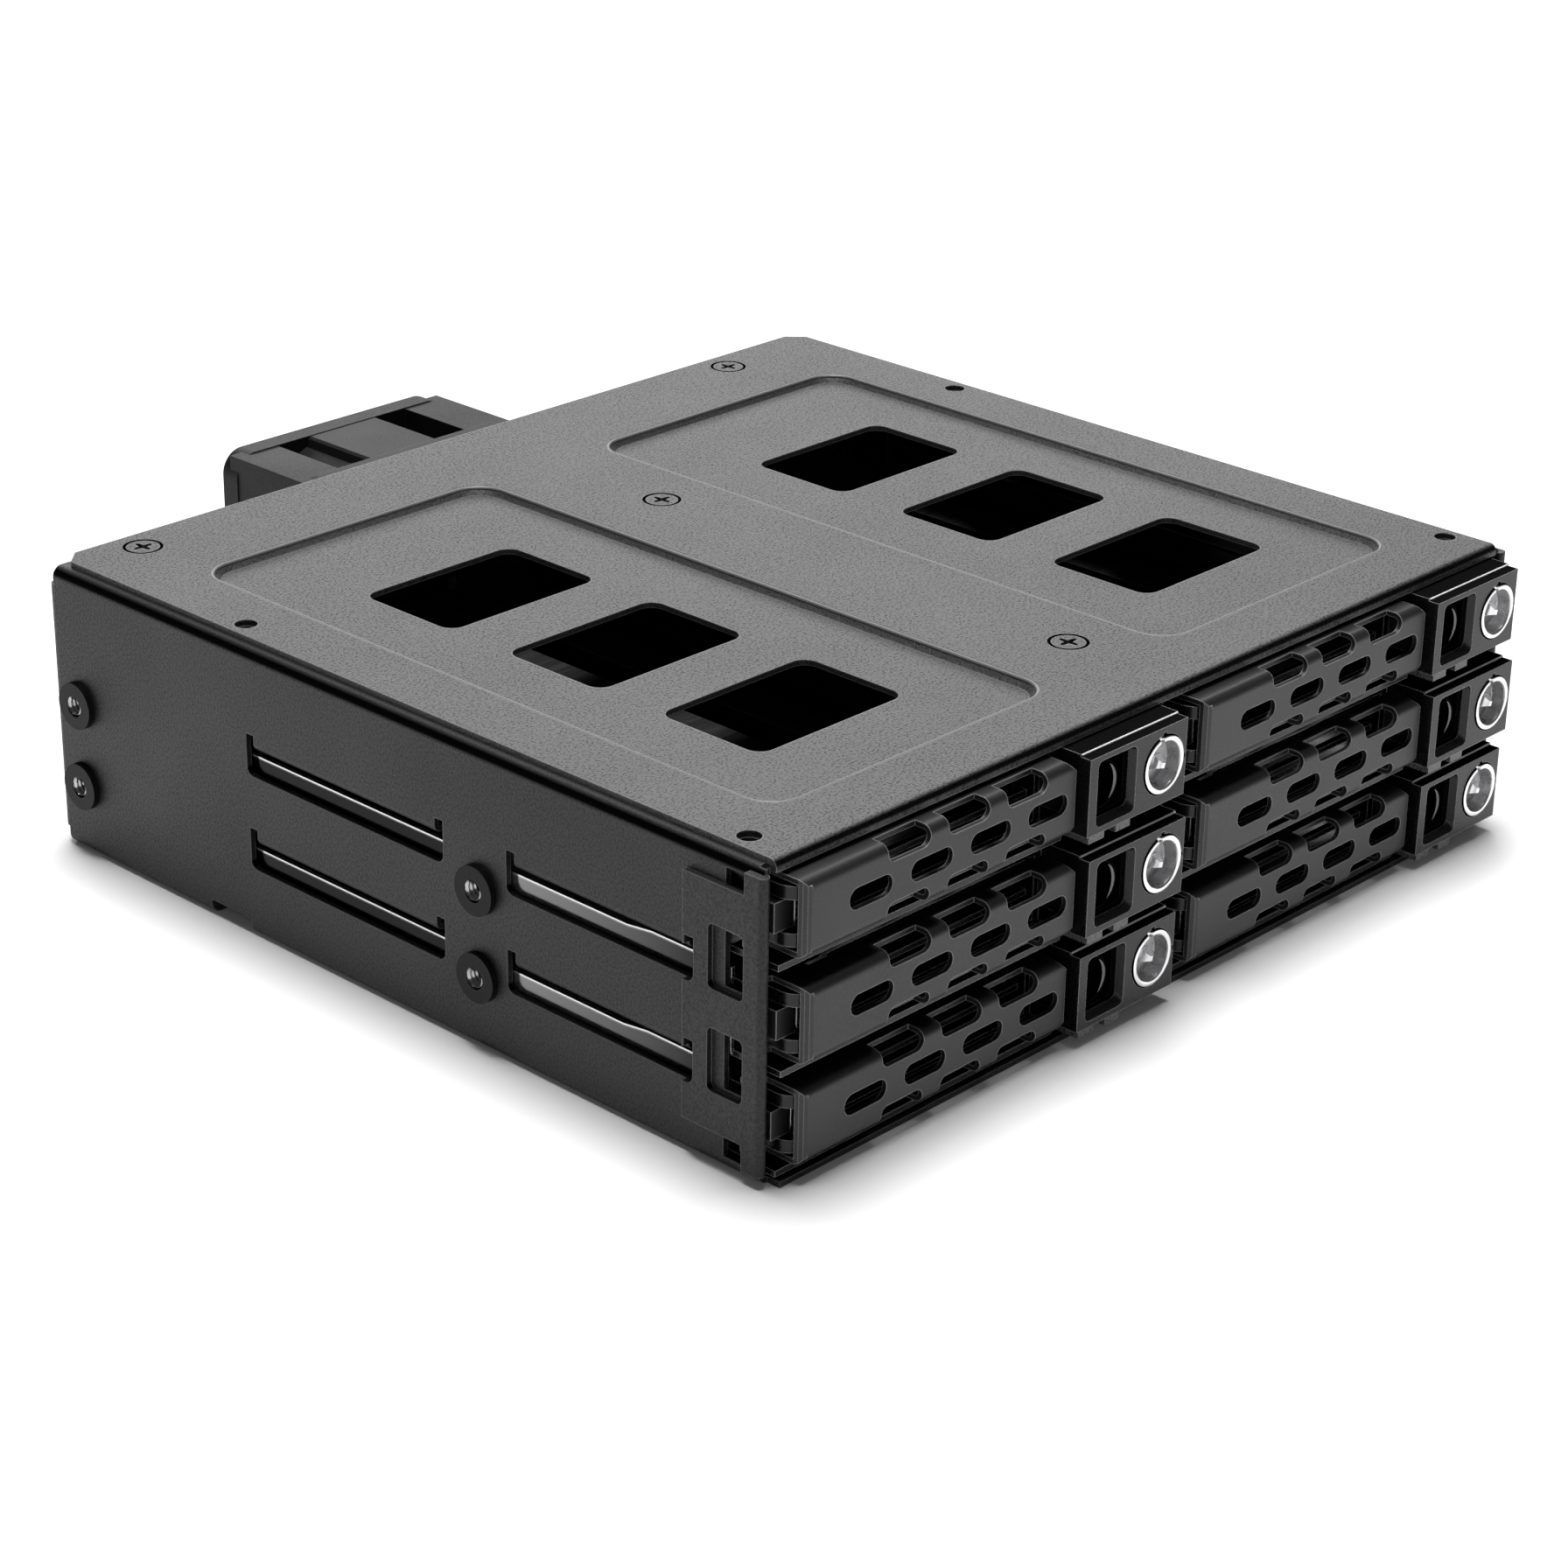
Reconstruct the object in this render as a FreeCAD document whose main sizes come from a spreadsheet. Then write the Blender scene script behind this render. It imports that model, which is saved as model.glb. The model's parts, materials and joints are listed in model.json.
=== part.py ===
"""Hot swap drive cage: six 2.5 inch drive trays in two columns, in one 5.25 inch bay shell.

Frame: millimetres, +Z up, +X to the right seen from the front, +Y towards the rear.
The origin is the centre of the shell's bottom face.
"""
import FreeCAD, Part
import math
import os

import Sketcher

SIZES = {
    # Shell, folded from one sheet
    "cage_width": 146.0,
    "cage_depth": 133.0,
    "cage_height": 41.3,
    "wall": 0.8,
    "bend": 1.5,
    "lip_width": 9.0,
    "lip_setback": 2.0,
    "rear_flange": 8.0,
    "rear_relief": 2.6,
    "front_lip": 1.2,
    "edge_notch_start": 92.5,
    "edge_notch_length": 8.2,
    "edge_notch_height": 2.1,
    "edge_notch_inset": 2.5,
    # Front hem, folded outwards and back, with the windows of the tray hooks
    "hem_strip": 2.9,
    "hem_reach": 12.6,
    "hem_margin": 16.0,
    "hook_window_length": 3.6,
    "hook_window_half": 3.5,
    "hem_window_length": 5.6,
    "hem_window_half": 4.15,
    "small_window_low": 1.8,
    "window_round": 0.8,
    # Lanced shelves in the side walls
    "front_slot_start": 10.8,
    "front_slot_end": 43.1,
    "rear_slot_start": 54.4,
    "rear_slot_end": 91.9,
    "slot_drop": 4.4,
    "slot_notch_width": 1.5,
    "slot_notch_rise": 1.4,
    "slot_round": 1.2,
    "shelf_reach": 4.6,
    "shelf_bend": 1.1,
    # Threaded side bushes, on the spacing of a 5.25 inch bay
    "bush_front": 48.1,
    "bush_spacing": 79.25,
    "bush_low": 10.0,
    "bush_rise": 11.84,
    "bush_bore": 1.5,
    "bush_barrel": 2.5,
    "bush_rim": 3.3,
    "bush_stand": 1.0,
    "bush_gap": 0.05,
    # Cover with two sunk panels and six windows
    "cover_sheet": 0.8,
    "cover_inset": 1.7,
    "cover_front": 0.3,
    "cover_rear_gap": 1.0,
    "cover_drop": 1.55,
    "cover_bend": 1.0,
    "cover_corner": 2.4,
    "panel_inner": 10.8,
    "panel_outer": 61.8,
    "panel_front": 10.0,
    "panel_rear": 115.5,
    "panel_round": 5.0,
    "panel_sink": 1.0,
    "panel_slope": 1.4,
    "vent_across": 37.0,
    "vent_width": 26.0,
    "vent_length": 17.2,
    "vent_first": 31.9,
    "vent_pitch": 27.4,
    "vent_round": 2.2,
    "cover_hole_across": 137.5,
    "cover_hole_front": 7.0,
    "cover_hole_spacing": 89.2,
    "cover_hole_radius": 1.5,
    # Countersunk cover screws
    "screw_rear": 127.5,
    "screw_rear_left": 61.0,
    "screw_rear_right": 51.5,
    "screw_mid_offset": 2.0,
    "screw_mid_front": 18.8,
    "screw_mid_rear": 92.2,
    "screw_head": 2.7,
    "screw_neck": 1.9,
    "screw_shank": 1.25,
    "screw_length": 1.9,
    "screw_gap": 0.05,
    # Centre divider
    "divider_sheet": 1.0,
    "divider_front": 2.4,
    "divider_rear": 117.0,
    "divider_flange": 9.0,
    "divider_tab": 10.0,
    "divider_shelf_length": 16.0,
    "divider_shelf_first": 14.0,
    "divider_shelf_pitch": 20.0,
    "divider_shelf_reach": 4.2,
    "tab_gap": 0.1,
    # Rear panel, board, connectors and posts
    "panel_side_gap": 0.9,
    "panel_top_gap": 0.2,
    "top_flange_half": 62.0,
    "top_flange_reach": 9.5,
    "board_front": 119.5,
    "board_sheet": 1.6,
    "board_half": 71.0,
    "board_low": 1.3,
    "board_high": 38.9,
    "board_vent_half": 24.0,
    "board_vent_height": 4.4,
    "post_across": 64.0,
    "post_low": 7.0,
    "post_high": 34.0,
    "post_radius": 2.7,
    "board_head": 2.3,
    "board_head_height": 1.4,
    "board_screw_length": 8.0,
    "panel_screw_across": 68.6,
    "panel_screw_low": 10.0,
    "panel_screw_high": 31.0,
    "panel_screw_length": 4.0,
    "drive_socket_width": 42.6,
    "drive_socket_height": 5.0,
    "drive_socket_depth": 6.1,
    "drive_socket_lift": 4.4,
    "drive_slot_height": 1.6,
    "drive_slot_depth": 4.6,
    "signal_slot_width": 10.6,
    "power_slot_width": 21.4,
    "slot_rib": 1.3,
    "data_port_width": 15.2,
    "data_port_height": 5.6,
    "power_port_width": 24.2,
    "power_port_height": 6.2,
    "port_rim": 1.1,
    "port_depth": 7.0,
    "port_tongue": 1.2,
    "port_gap": 0.4,
    "port_left": 49.0,
    "port_right": 27.0,
    "port_power": 52.0,
    "port_low": 8.5,
    "port_pitch": 12.0,
    # Fan, on the outside of the rear panel
    "fan_side": 40.0,
    "fan_depth": 20.0,
    "fan_across": -7.8,
    "fan_centre": 20.4,
    "fan_flange": 3.2,
    "fan_round": 3.5,
    "fan_corner": 7.6,
    "fan_bore": 18.4,
    "fan_shroud": 19.6,
    "fan_hole_spacing": 32.0,
    "fan_hole": 1.75,
    "fan_screw": 1.6,
    "fan_screw_head": 2.9,
    "fan_screw_head_height": 1.9,
    "fan_screw_grip": 2.0,
    "fan_cup": 9.0,
    "fan_strut": 2.2,
    "fan_hub": 8.6,
    "fan_hub_front": 2.0,
    "fan_blade_tip": 17.9,
    "fan_blade_front": 3.2,
    "fan_blade_rear": 15.6,
    "fan_blade_sheet": 1.1,
    "fan_blade_curve": 14.0,
    "fan_blade_lead": 3.4,
    "fan_blades": 7,
    "fan_shaft": 1.0,
    "fan_gap": 0.4,
    "shaft_gap": 0.05,
    # Tray places
    "column_pitch": 72.8,
    "tray_pitch": 13.3,
    "tray_rise": 0.15,
    "middle_forward": 0.6,
    # Steel tray pan
    "tray_width": 71.2,
    "pan_sheet": 0.6,
    "pan_bend": 1.0,
    "pan_front": 7.0,
    "pan_rear": 112.0,
    "pan_side": 11.3,
    "pan_side_front": 11.8,
    "pan_step_start": 20.0,
    "pan_step_end": 24.0,
    "pan_slot_width": 5.0,
    "pan_slot_pitch": 12.0,
    "pan_slot_start": 34.0,
    "pan_slot_end": 100.0,
    "drive_hole": 1.7,
    "drive_hole_rear": 14.0,
    "drive_hole_front": 90.6,
    "drive_hole_across": 61.72,
    # Tray front with the lock block
    "front_margin": 0.3,
    "lever_centre": 6.65,
    "front_face": -4.0,
    "block_left": 15.2,
    "block_right": 34.0,
    "block_height": 10.6,
    "block_step_back": 1.6,
    "block_step_drop": 0.3,
    "grille_front": 3.6,
    "grille_low": 0.3,
    "grille_high": 11.6,
    "grille_rail": 1.2,
    "grille_left": -24.5,
    "grille_neck_half": 3.8,
    "grille_bar": 0.8,
    "grille_bar_pitch": 3.2,
    "sill_front": -0.6,
    "sill_sheet": 0.8,
    "tongue_sheet": 1.3,
    "tongue_gap": 0.1,
    "tongue_reach": 9.0,
    "tongue_half": 4.0,
    "ear_radius": 2.6,
    "ear_low": 2.1,
    "window_left": 1.5,
    "window_right": 9.0,
    "window_low": 0.8,
    "window_high": 1.0,
    "window_corner": 0.9,
    "bevel_right": 0.5,
    "bevel_low": 0.8,
    "bevel_depth": 1.0,
    "pocket_end": 6.0,
    "lock_across": 29.6,
    "lock_bore": 4.0,
    "index_notch": 0.35,
    # Ventilated lever
    "lever_face": -2.8,
    "lever_sheet": 0.7,
    "lever_height": 9.8,
    "lever_depth": 4.4,
    "lever_bend": 1.3,
    "lever_left": -33.4,
    "lever_right": 14.0,
    "lever_corner": 1.2,
    "lever_slot_width": 7.3,
    "lever_slot_height": 2.75,
    "lever_slot_pitch": 10.45,
    "lever_slot_first": -22.4,
    "edge_slot_first": -15.9,
    "edge_slot_drop": 2.3,
    "edge_slot_reach": 2.6,
    "edge_slot_round": 1.2,
    "pin_across": -31.4,
    "pin_back": 0.8,
    "pin_radius": 0.8,
    "pin_gap": 0.05,
    "pin_end_gap": 0.05,
    "lever_end_turn": 1.15,
    "hook_tip": -35.6,
    "hook_back": 4.8,
    "hook_width": 1.4,
    "foot_half": 1.9,
    "foot_left": -35.3,
    "foot_front": 0.2,
    "foot_neck": -31.0,
    "foot_back": 2.4,
    "foot_right": -28.6,
    "catch_reach": 4.5,
    "catch_half": 2.2,
    # Release button
    "button_gap": 0.15,
    "button_recess": 1.6,
    "button_back": 3.0,
    "scoop_radius": 5.0,
    "scoop_across": 4.3,
    "scoop_stand": 4.0,
    "nose_tip": 14.2,
    "nose_front": 0.4,
    "nose_width": 1.2,
    "nose_half": 1.0,
    "nose_slot_front": 0.1,
    "nose_slot_back": 3.2,
    "nose_slot_half": 1.3,
    # Key lock
    "lock_gap": 0.15,
    "lock_stand": 0.25,
    "lock_ring": 0.7,
    "lock_bowl_floor": 2.75,
    "lock_bowl_depth": 1.8,
    "lock_length": 10.9,
    "lock_post": 1.4,
    "lock_post_rise": 1.5,
    # Light pipes
    "light_first": 0.4,
    "light_first_width": 3.0,
    "light_second": 5.6,
    "light_second_width": 2.8,
    "light_height": 1.0,
    "light_recess": 0.1,
    "light_back": 6.9,
    "light_gap": 0.05,
}

document = FreeCAD.newDocument("drive_cage")
sheet = document.addObject("Spreadsheet::Sheet", "sizes")


class Size:
    """A length that carries its value and the sheet formula that gives it."""

    def __init__(self, value, formula):
        self.value = value
        self.formula = formula

    @staticmethod
    def of(other):
        """A plain number as a Size, and a Size as it is."""
        if isinstance(other, Size):
            return other
        return Size(float(other), repr(float(other)))

    def joined(self, sign, other, value):
        """The Size of one sum or product."""
        return Size(value, "(" + self.formula + " " + sign + " " + other.formula + ")")

    def __add__(self, other):
        other = Size.of(other)
        return self.joined("+", other, self.value + other.value)

    def __sub__(self, other):
        other = Size.of(other)
        return self.joined("-", other, self.value - other.value)

    def __mul__(self, other):
        other = Size.of(other)
        return self.joined("*", other, self.value * other.value)

    def __truediv__(self, other):
        other = Size.of(other)
        return self.joined("/", other, self.value / other.value)

    def __neg__(self):
        return self * -1

    def __radd__(self, other):
        return Size.of(other) + self

    def __rsub__(self, other):
        return Size.of(other) - self

    def __rmul__(self, other):
        return Size.of(other) * self


class SizeTable:
    """The sheet's cells as attributes, one Size for each alias."""

    def __init__(self, sizes):
        for row, (alias, value) in enumerate(sizes.items(), start=1):
            sheet.set("A" + str(row), alias)
            sheet.set("B" + str(row), str(value))
            sheet.setAlias("B" + str(row), alias)
            setattr(self, alias, Size(float(value), "sizes." + alias))


s = SizeTable(SIZES)
document.recompute()


def bind(thing, path, size):
    """Sets a property or a constraint to a Size, by formula."""
    thing.setExpression(path, Size.of(size).formula)


# Each plane's origin feature, and the sign of its normal along the axis it faces.
PLANES = {"XY": ("XY_Plane", 1), "XZ": ("XZ_Plane", -1), "YZ": ("YZ_Plane", 1)}
AXES = {"X": "X_Axis", "Y": "Y_Axis", "Z": "Z_Axis"}
TURN = 2 * math.pi


def vector(x, y):
    return FreeCAD.Vector(x, y, 0)


def pin_point(sketch, geometry, end, x, y):
    """Holds one end or centre of a curve at two Sizes from the sketch's origin."""
    for kind, size in (("DistanceX", x), ("DistanceY", y)):
        size = Size.of(size)
        held = sketch.addConstraint(
            Sketcher.Constraint(kind, -1, 1, geometry, end, size.value))
        bind(sketch, "Constraints[" + str(held) + "]", size)


def hold_radius(sketch, geometry, radius):
    radius = Size.of(radius)
    held = sketch.addConstraint(Sketcher.Constraint("Radius", geometry, radius.value))
    bind(sketch, "Constraints[" + str(held) + "]", radius)


def unit(a, b):
    """The direction from a to b."""
    reach = math.hypot(b[0] - a[0], b[1] - a[1])
    return ((b[0] - a[0]) / reach, (b[1] - a[1]) / reach)


def sign_of(number):
    return (number > 1e-9) - (number < -1e-9)


def outline(*corners):
    """A closed outline. A corner is (x, y), or (x, y, radius) between two square sides."""
    def draw(sketch):
        count = len(corners)
        spots = [(Size.of(c[0]).value, Size.of(c[1]).value) for c in corners]
        radii = [Size.of(c[2]) if len(c) > 2 else None for c in corners]
        entry, leave, arcs = [], [], []
        for i, spot in enumerate(spots):
            come = unit(spots[i - 1], spot)
            go = unit(spot, spots[(i + 1) % count])
            reach = radii[i].value if radii[i] else 0.0
            entry.append((spot[0] - come[0] * reach, spot[1] - come[1] * reach))
            leave.append((spot[0] + go[0] * reach, spot[1] + go[1] * reach))
            if radii[i] is None:
                arcs.append(None)
                continue
            # The centre lies one radius inside both sides.
            towards = (sign_of(go[0] - come[0]), sign_of(go[1] - come[1]))
            middle = (spot[0] + towards[0] * reach, spot[1] + towards[1] * reach)
            left_turn = come[0] * go[1] - come[1] * go[0] > 0
            first, last = (entry[i], leave[i]) if left_turn else (leave[i], entry[i])
            start = math.atan2(first[1] - middle[1], first[0] - middle[0])
            stop = math.atan2(last[1] - middle[1], last[0] - middle[0])
            circle = Part.Circle(vector(*middle), FreeCAD.Vector(0, 0, 1), reach)
            arc = sketch.addGeometry(Part.ArcOfCircle(circle, start, start + (stop - start) % TURN))
            pin_point(sketch, arc, 3, Size.of(corners[i][0]) + radii[i] * towards[0],
                      Size.of(corners[i][1]) + radii[i] * towards[1])
            hold_radius(sketch, arc, radii[i])
            arcs.append((arc, 1, 2) if left_turn else (arc, 2, 1))
        lines = []
        for i in range(count):
            after = (i + 1) % count
            lines.append(sketch.addGeometry(
                Part.LineSegment(vector(*leave[i]), vector(*entry[after]))))
        for i in range(count):
            if arcs[i] is None:
                sketch.addConstraint(Sketcher.Constraint("Coincident", lines[i - 1], 2, lines[i], 1))
                pin_point(sketch, lines[i], 1, corners[i][0], corners[i][1])
            else:
                arc, into, out = arcs[i]
                sketch.addConstraint(Sketcher.Constraint("Tangent", lines[i - 1], 2, arc, into))
                sketch.addConstraint(Sketcher.Constraint("Tangent", arc, out, lines[i], 1))
    return draw


def rectangle(x0, x1, y0, y1, radius=None):
    """A rectangle between two Sizes each way, with its corners rounded on request."""
    corners = [(x0, y0), (x1, y0), (x1, y1), (x0, y1)]
    if radius is not None:
        corners = [corner + (radius,) for corner in corners]
    return outline(*corners)


def centred(x, y, width, height, radius=None):
    """A rectangle given by its middle and its two widths."""
    x, y, width, height = (Size.of(size) for size in (x, y, width, height))
    return rectangle(x - width / 2, x + width / 2, y - height / 2, y + height / 2, radius)


def circle(x, y, radius):
    def draw(sketch):
        spot = vector(Size.of(x).value, Size.of(y).value)
        ring = sketch.addGeometry(
            Part.Circle(spot, FreeCAD.Vector(0, 0, 1), Size.of(radius).value))
        pin_point(sketch, ring, 3, x, y)
        hold_radius(sketch, ring, radius)
    return draw


def hexagon(x, y, reach):
    """Six sides round a middle, with two corners level with it."""
    rise = reach * math.sin(math.pi / 3)
    return outline((x + reach, y), (x + reach / 2, y + rise), (x - reach / 2, y + rise),
                   (x - reach, y), (x - reach / 2, y - rise), (x + reach / 2, y - rise))


def crescent(x, y, radius, width, depth):
    """A curved strip: two arcs of one radius, side by side, from the centre's height down."""
    def draw(sketch):
        x_size, y_size, radius_size = Size.of(x), Size.of(y), Size.of(radius)
        width_size, depth_size = Size.of(width), Size.of(depth)
        drop = math.asin(depth_size.value / radius_size.value)
        up = FreeCAD.Vector(0, 0, 1)
        arcs = []
        for middle in (x_size, x_size + width_size):
            ring = Part.Circle(vector(middle.value, y_size.value), up, radius_size.value)
            arcs.append(sketch.addGeometry(Part.ArcOfCircle(ring, math.pi, math.pi + drop)))
            pin_point(sketch, arcs[-1], 3, middle, y)
            hold_radius(sketch, arcs[-1], radius)
            for end, height in ((1, y_size), (2, y_size - depth_size)):
                held = sketch.addConstraint(
                    Sketcher.Constraint("DistanceY", -1, 1, arcs[-1], end, height.value))
                bind(sketch, "Constraints[" + str(held) + "]", height)
        left, right = ([sketch.getPoint(arc, end) for end in (1, 2)] for arc in arcs)
        for end in (0, 1):
            side = sketch.addGeometry(Part.LineSegment(left[end], right[end]))
            sketch.addConstraint(Sketcher.Constraint("Coincident", arcs[0], end + 1, side, 1))
            sketch.addConstraint(Sketcher.Constraint("Coincident", side, 2, arcs[1], end + 1))
    return draw


def obround(x, y, length, height):
    """A slot with round ends, lying along the sketch's first axis."""
    def draw(sketch):
        length_size, radius = Size.of(length), Size.of(height) / 2
        reach = length_size / 2 - radius
        left, right = Size.of(x) - reach, Size.of(x) + reach
        low, high = Size.of(y).value - radius.value, Size.of(y).value + radius.value
        up = FreeCAD.Vector(0, 0, 1)
        ends = []
        for middle, start in ((left, math.pi / 2), (right, -math.pi / 2)):
            ring = Part.Circle(vector(middle.value, Size.of(y).value), up, radius.value)
            ends.append(sketch.addGeometry(Part.ArcOfCircle(ring, start, start + math.pi)))
            pin_point(sketch, ends[-1], 3, middle, y)
            hold_radius(sketch, ends[-1], radius)
        bottom = sketch.addGeometry(
            Part.LineSegment(vector(left.value, low), vector(right.value, low)))
        top = sketch.addGeometry(
            Part.LineSegment(vector(right.value, high), vector(left.value, high)))
        for joint in ((ends[0], 2, bottom, 1), (bottom, 2, ends[1], 1),
                      (ends[1], 2, top, 1), (top, 2, ends[0], 1)):
            sketch.addConstraint(Sketcher.Constraint("Tangent", *joint))
    return draw


class Piece:
    """One sub-part: a body built in its own frame and placed by the sheet."""

    def __init__(self, label, place=(0, 0, 0)):
        self.label = label
        self.body = document.addObject("PartDesign::Body", label)
        self.body.Label = label
        self.body.AllowCompound = True
        put(self.body, place)

    def origin(self, role):
        return [item for item in self.body.Origin.OriginFeatures if item.Role == role][0]

    def sketch(self, plane, level, shapes):
        """A sketch on a plane of this body, at a level along the plane's own axis."""
        role, facing = PLANES[plane]
        sketch = self.body.newObject("Sketcher::SketchObject", self.label + "_sketch")
        sketch.AttachmentSupport = [(self.origin(role), "")]
        sketch.MapMode = "FlatFace"
        bind(sketch, "AttachmentOffset.Base.z", Size.of(level) * facing)
        for draw in shapes:
            draw(sketch)
        return sketch

    def feature(self, kind, **settings):
        made = self.body.newObject("PartDesign::" + kind, self.label + "_" + kind)
        for name, value in settings.items():
            setattr(made, name, value)
        return made

    def add(self, plane, low, high, *shapes):
        """Material between two levels of a plane's axis."""
        pad = self.feature("Pad", Profile=self.sketch(plane, low, shapes),
                           Reversed=PLANES[plane][1] < 0)
        bind(pad, "Length", Size.of(high) - low)
        return pad

    def cut(self, plane, low, high, *shapes):
        """Takes material away between two levels of a plane's axis."""
        pocket = self.feature("Pocket", Profile=self.sketch(plane, low, shapes),
                              Reversed=PLANES[plane][1] > 0)
        bind(pocket, "Length", Size.of(high) - low)
        return pocket

    def loft(self, kind, plane, *levels):
        """A ruled loft through (level, shape) pairs."""
        sections = [self.sketch(plane, level, [shape]) for level, shape in levels]
        return self.feature(kind, Profile=sections[0], Sections=sections[1:], Ruled=True)

    def turn(self, *shapes):
        """A solid of revolution about the body's Y axis, from a profile in the XY plane."""
        sketch = self.sketch("XY", 0, shapes)
        return self.feature("Revolution", Profile=sketch, ReferenceAxis=(sketch, ["V_Axis"]),
                            Angle=360)


def put(thing, place):
    """Binds an object's place to the sheet."""
    for axis, size in zip("xyz", place):
        bind(thing, "Placement.Base." + axis, size)


def copy_of(source, label, place):
    """The same piece again, at another place."""
    link = document.addObject("App::Link", label)
    link.Label = label
    link.LinkedObject = source
    put(link, place)
    return link


nodes = []


def node(thing):
    """Marks an object as a sub-part to be written out."""
    nodes.append(thing)
    return thing


def group(label, pieces):
    """Like pieces as one sub-part of separate solids."""
    compound = document.addObject("Part::Compound", label)
    compound.Label = label
    compound.Links = pieces
    return node(compound)


# Places that several pieces share
half_width = s.cage_width / 2
inner_half = half_width - s.wall
front = -(s.cage_depth / 2)
in_cage = (0, front, 0)
shell_top = s.cage_height - s.cover_sheet
SIDES = (-1, 1)
COLUMNS = {"left": -1, "right": 1}
ROWS = {"1": 2, "2": 1, "3": 0}


def shelf_level(level):
    """Height of the surface that a row of trays runs on."""
    return s.wall + s.tray_pitch * level


def row_base(level):
    """Height of the underside of a row's trays."""
    return shelf_level(level) + s.tray_rise


def lever_level(level):
    return row_base(level) + s.lever_centre


def tray_place(column, row):
    """Origin of one tray: its middle, the shell's front plane and its underside."""
    forward = s.middle_forward if row == "2" else Size.of(0)
    across = s.column_pitch * (COLUMNS[column] / 2)
    return (across, front - forward, row_base(ROWS[row]))


SLOT_SPANS = ((s.front_slot_start, s.front_slot_end), (s.rear_slot_start, s.rear_slot_end))
BUSH_SPOTS = [(s.bush_front + s.bush_spacing * i, s.bush_low + s.bush_rise * k)
              for i in (0, 1) for k in (0, 1)]
COVER_HOLES = [(s.cover_hole_across / 2 * side, s.cover_hole_front + s.cover_hole_spacing * i)
               for side in SIDES for i in (0, 1)]
MID_SCREWS = [(s.screw_mid_offset, s.screw_mid_front), (s.screw_mid_offset, s.screw_mid_rear)]
REAR_SCREWS = [(-s.screw_rear_left, s.screw_rear), (s.screw_rear_right, s.screw_rear)]
DIVIDER_TABS = (0, 1, 2)
PANEL_SCREWS = [(s.panel_screw_across * side, height)
                for side in SIDES for height in (s.panel_screw_low, s.panel_screw_high)]
POSTS = [(s.post_across * side, height)
         for side in SIDES for height in (s.post_low, s.post_high)]
FAN_HOLES = [(s.fan_hole_spacing / 2 * i, s.fan_hole_spacing / 2 * k) for i in SIDES for k in SIDES]
DATA_PORTS = [(across, s.port_low + s.port_pitch * i)
              for across in (-s.port_left, s.port_right) for i in range(3)]
POWER_PORTS = [(s.port_power, s.port_low + s.port_pitch * (i + 0.5)) for i in range(2)]


def divider_tab_start(i):
    """Front end of one of the tabs that hold the divider in the floor."""
    return s.divider_shelf_first + (s.divider_shelf_pitch * 2 - s.divider_tab / 2) * i


def base_shell():
    """Floor, two side walls and top lips, folded from one sheet, with lanced shelves."""
    piece = Piece("base_shell", in_cage)
    inner_bend = s.bend - s.wall
    lip = half_width - s.lip_width
    piece.add(
        "XZ", s.wall, s.cage_depth - s.bend,
        outline((-half_width, 0, s.bend), (half_width, 0, s.bend), (half_width, shell_top, s.bend),
                (lip, shell_top), (lip, shell_top - s.wall),
                (inner_half, shell_top - s.wall, inner_bend), (inner_half, s.wall, inner_bend),
                (-inner_half, s.wall, inner_bend),
                (-inner_half, shell_top - s.wall, inner_bend),
                (-lip, shell_top - s.wall), (-lip, shell_top), (-half_width, shell_top, s.bend)))
    floor_half = half_width - s.bend
    piece.add("XY", 0, s.wall,
              rectangle(-floor_half, floor_half, -s.front_lip, s.wall * 2),
              rectangle(-floor_half, floor_half, s.cage_depth - s.bend * 2, s.cage_depth - s.wall))
    # The lips stop short of the cover's rolled front edge.
    piece.cut("XY", shell_top - s.bend, shell_top + s.wall,
              rectangle(-inner_half, inner_half, 0, s.lip_setback))
    for side in SIDES:
        side_wall_details(piece, side)
    holes = [circle(x, y, s.screw_shank) for x, y in COVER_HOLES]
    piece.cut("XY", shell_top - s.wall * 2, shell_top + s.wall, *holes)
    slots = [rectangle(-s.divider_sheet / 2 - s.tab_gap, s.divider_sheet / 2 + s.tab_gap,
                       divider_tab_start(i) - s.tab_gap,
                       divider_tab_start(i) + s.divider_tab + s.tab_gap) for i in DIVIDER_TABS]
    piece.cut("XY", -s.wall, s.wall * 2, *slots)
    return node(piece.body)


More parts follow.
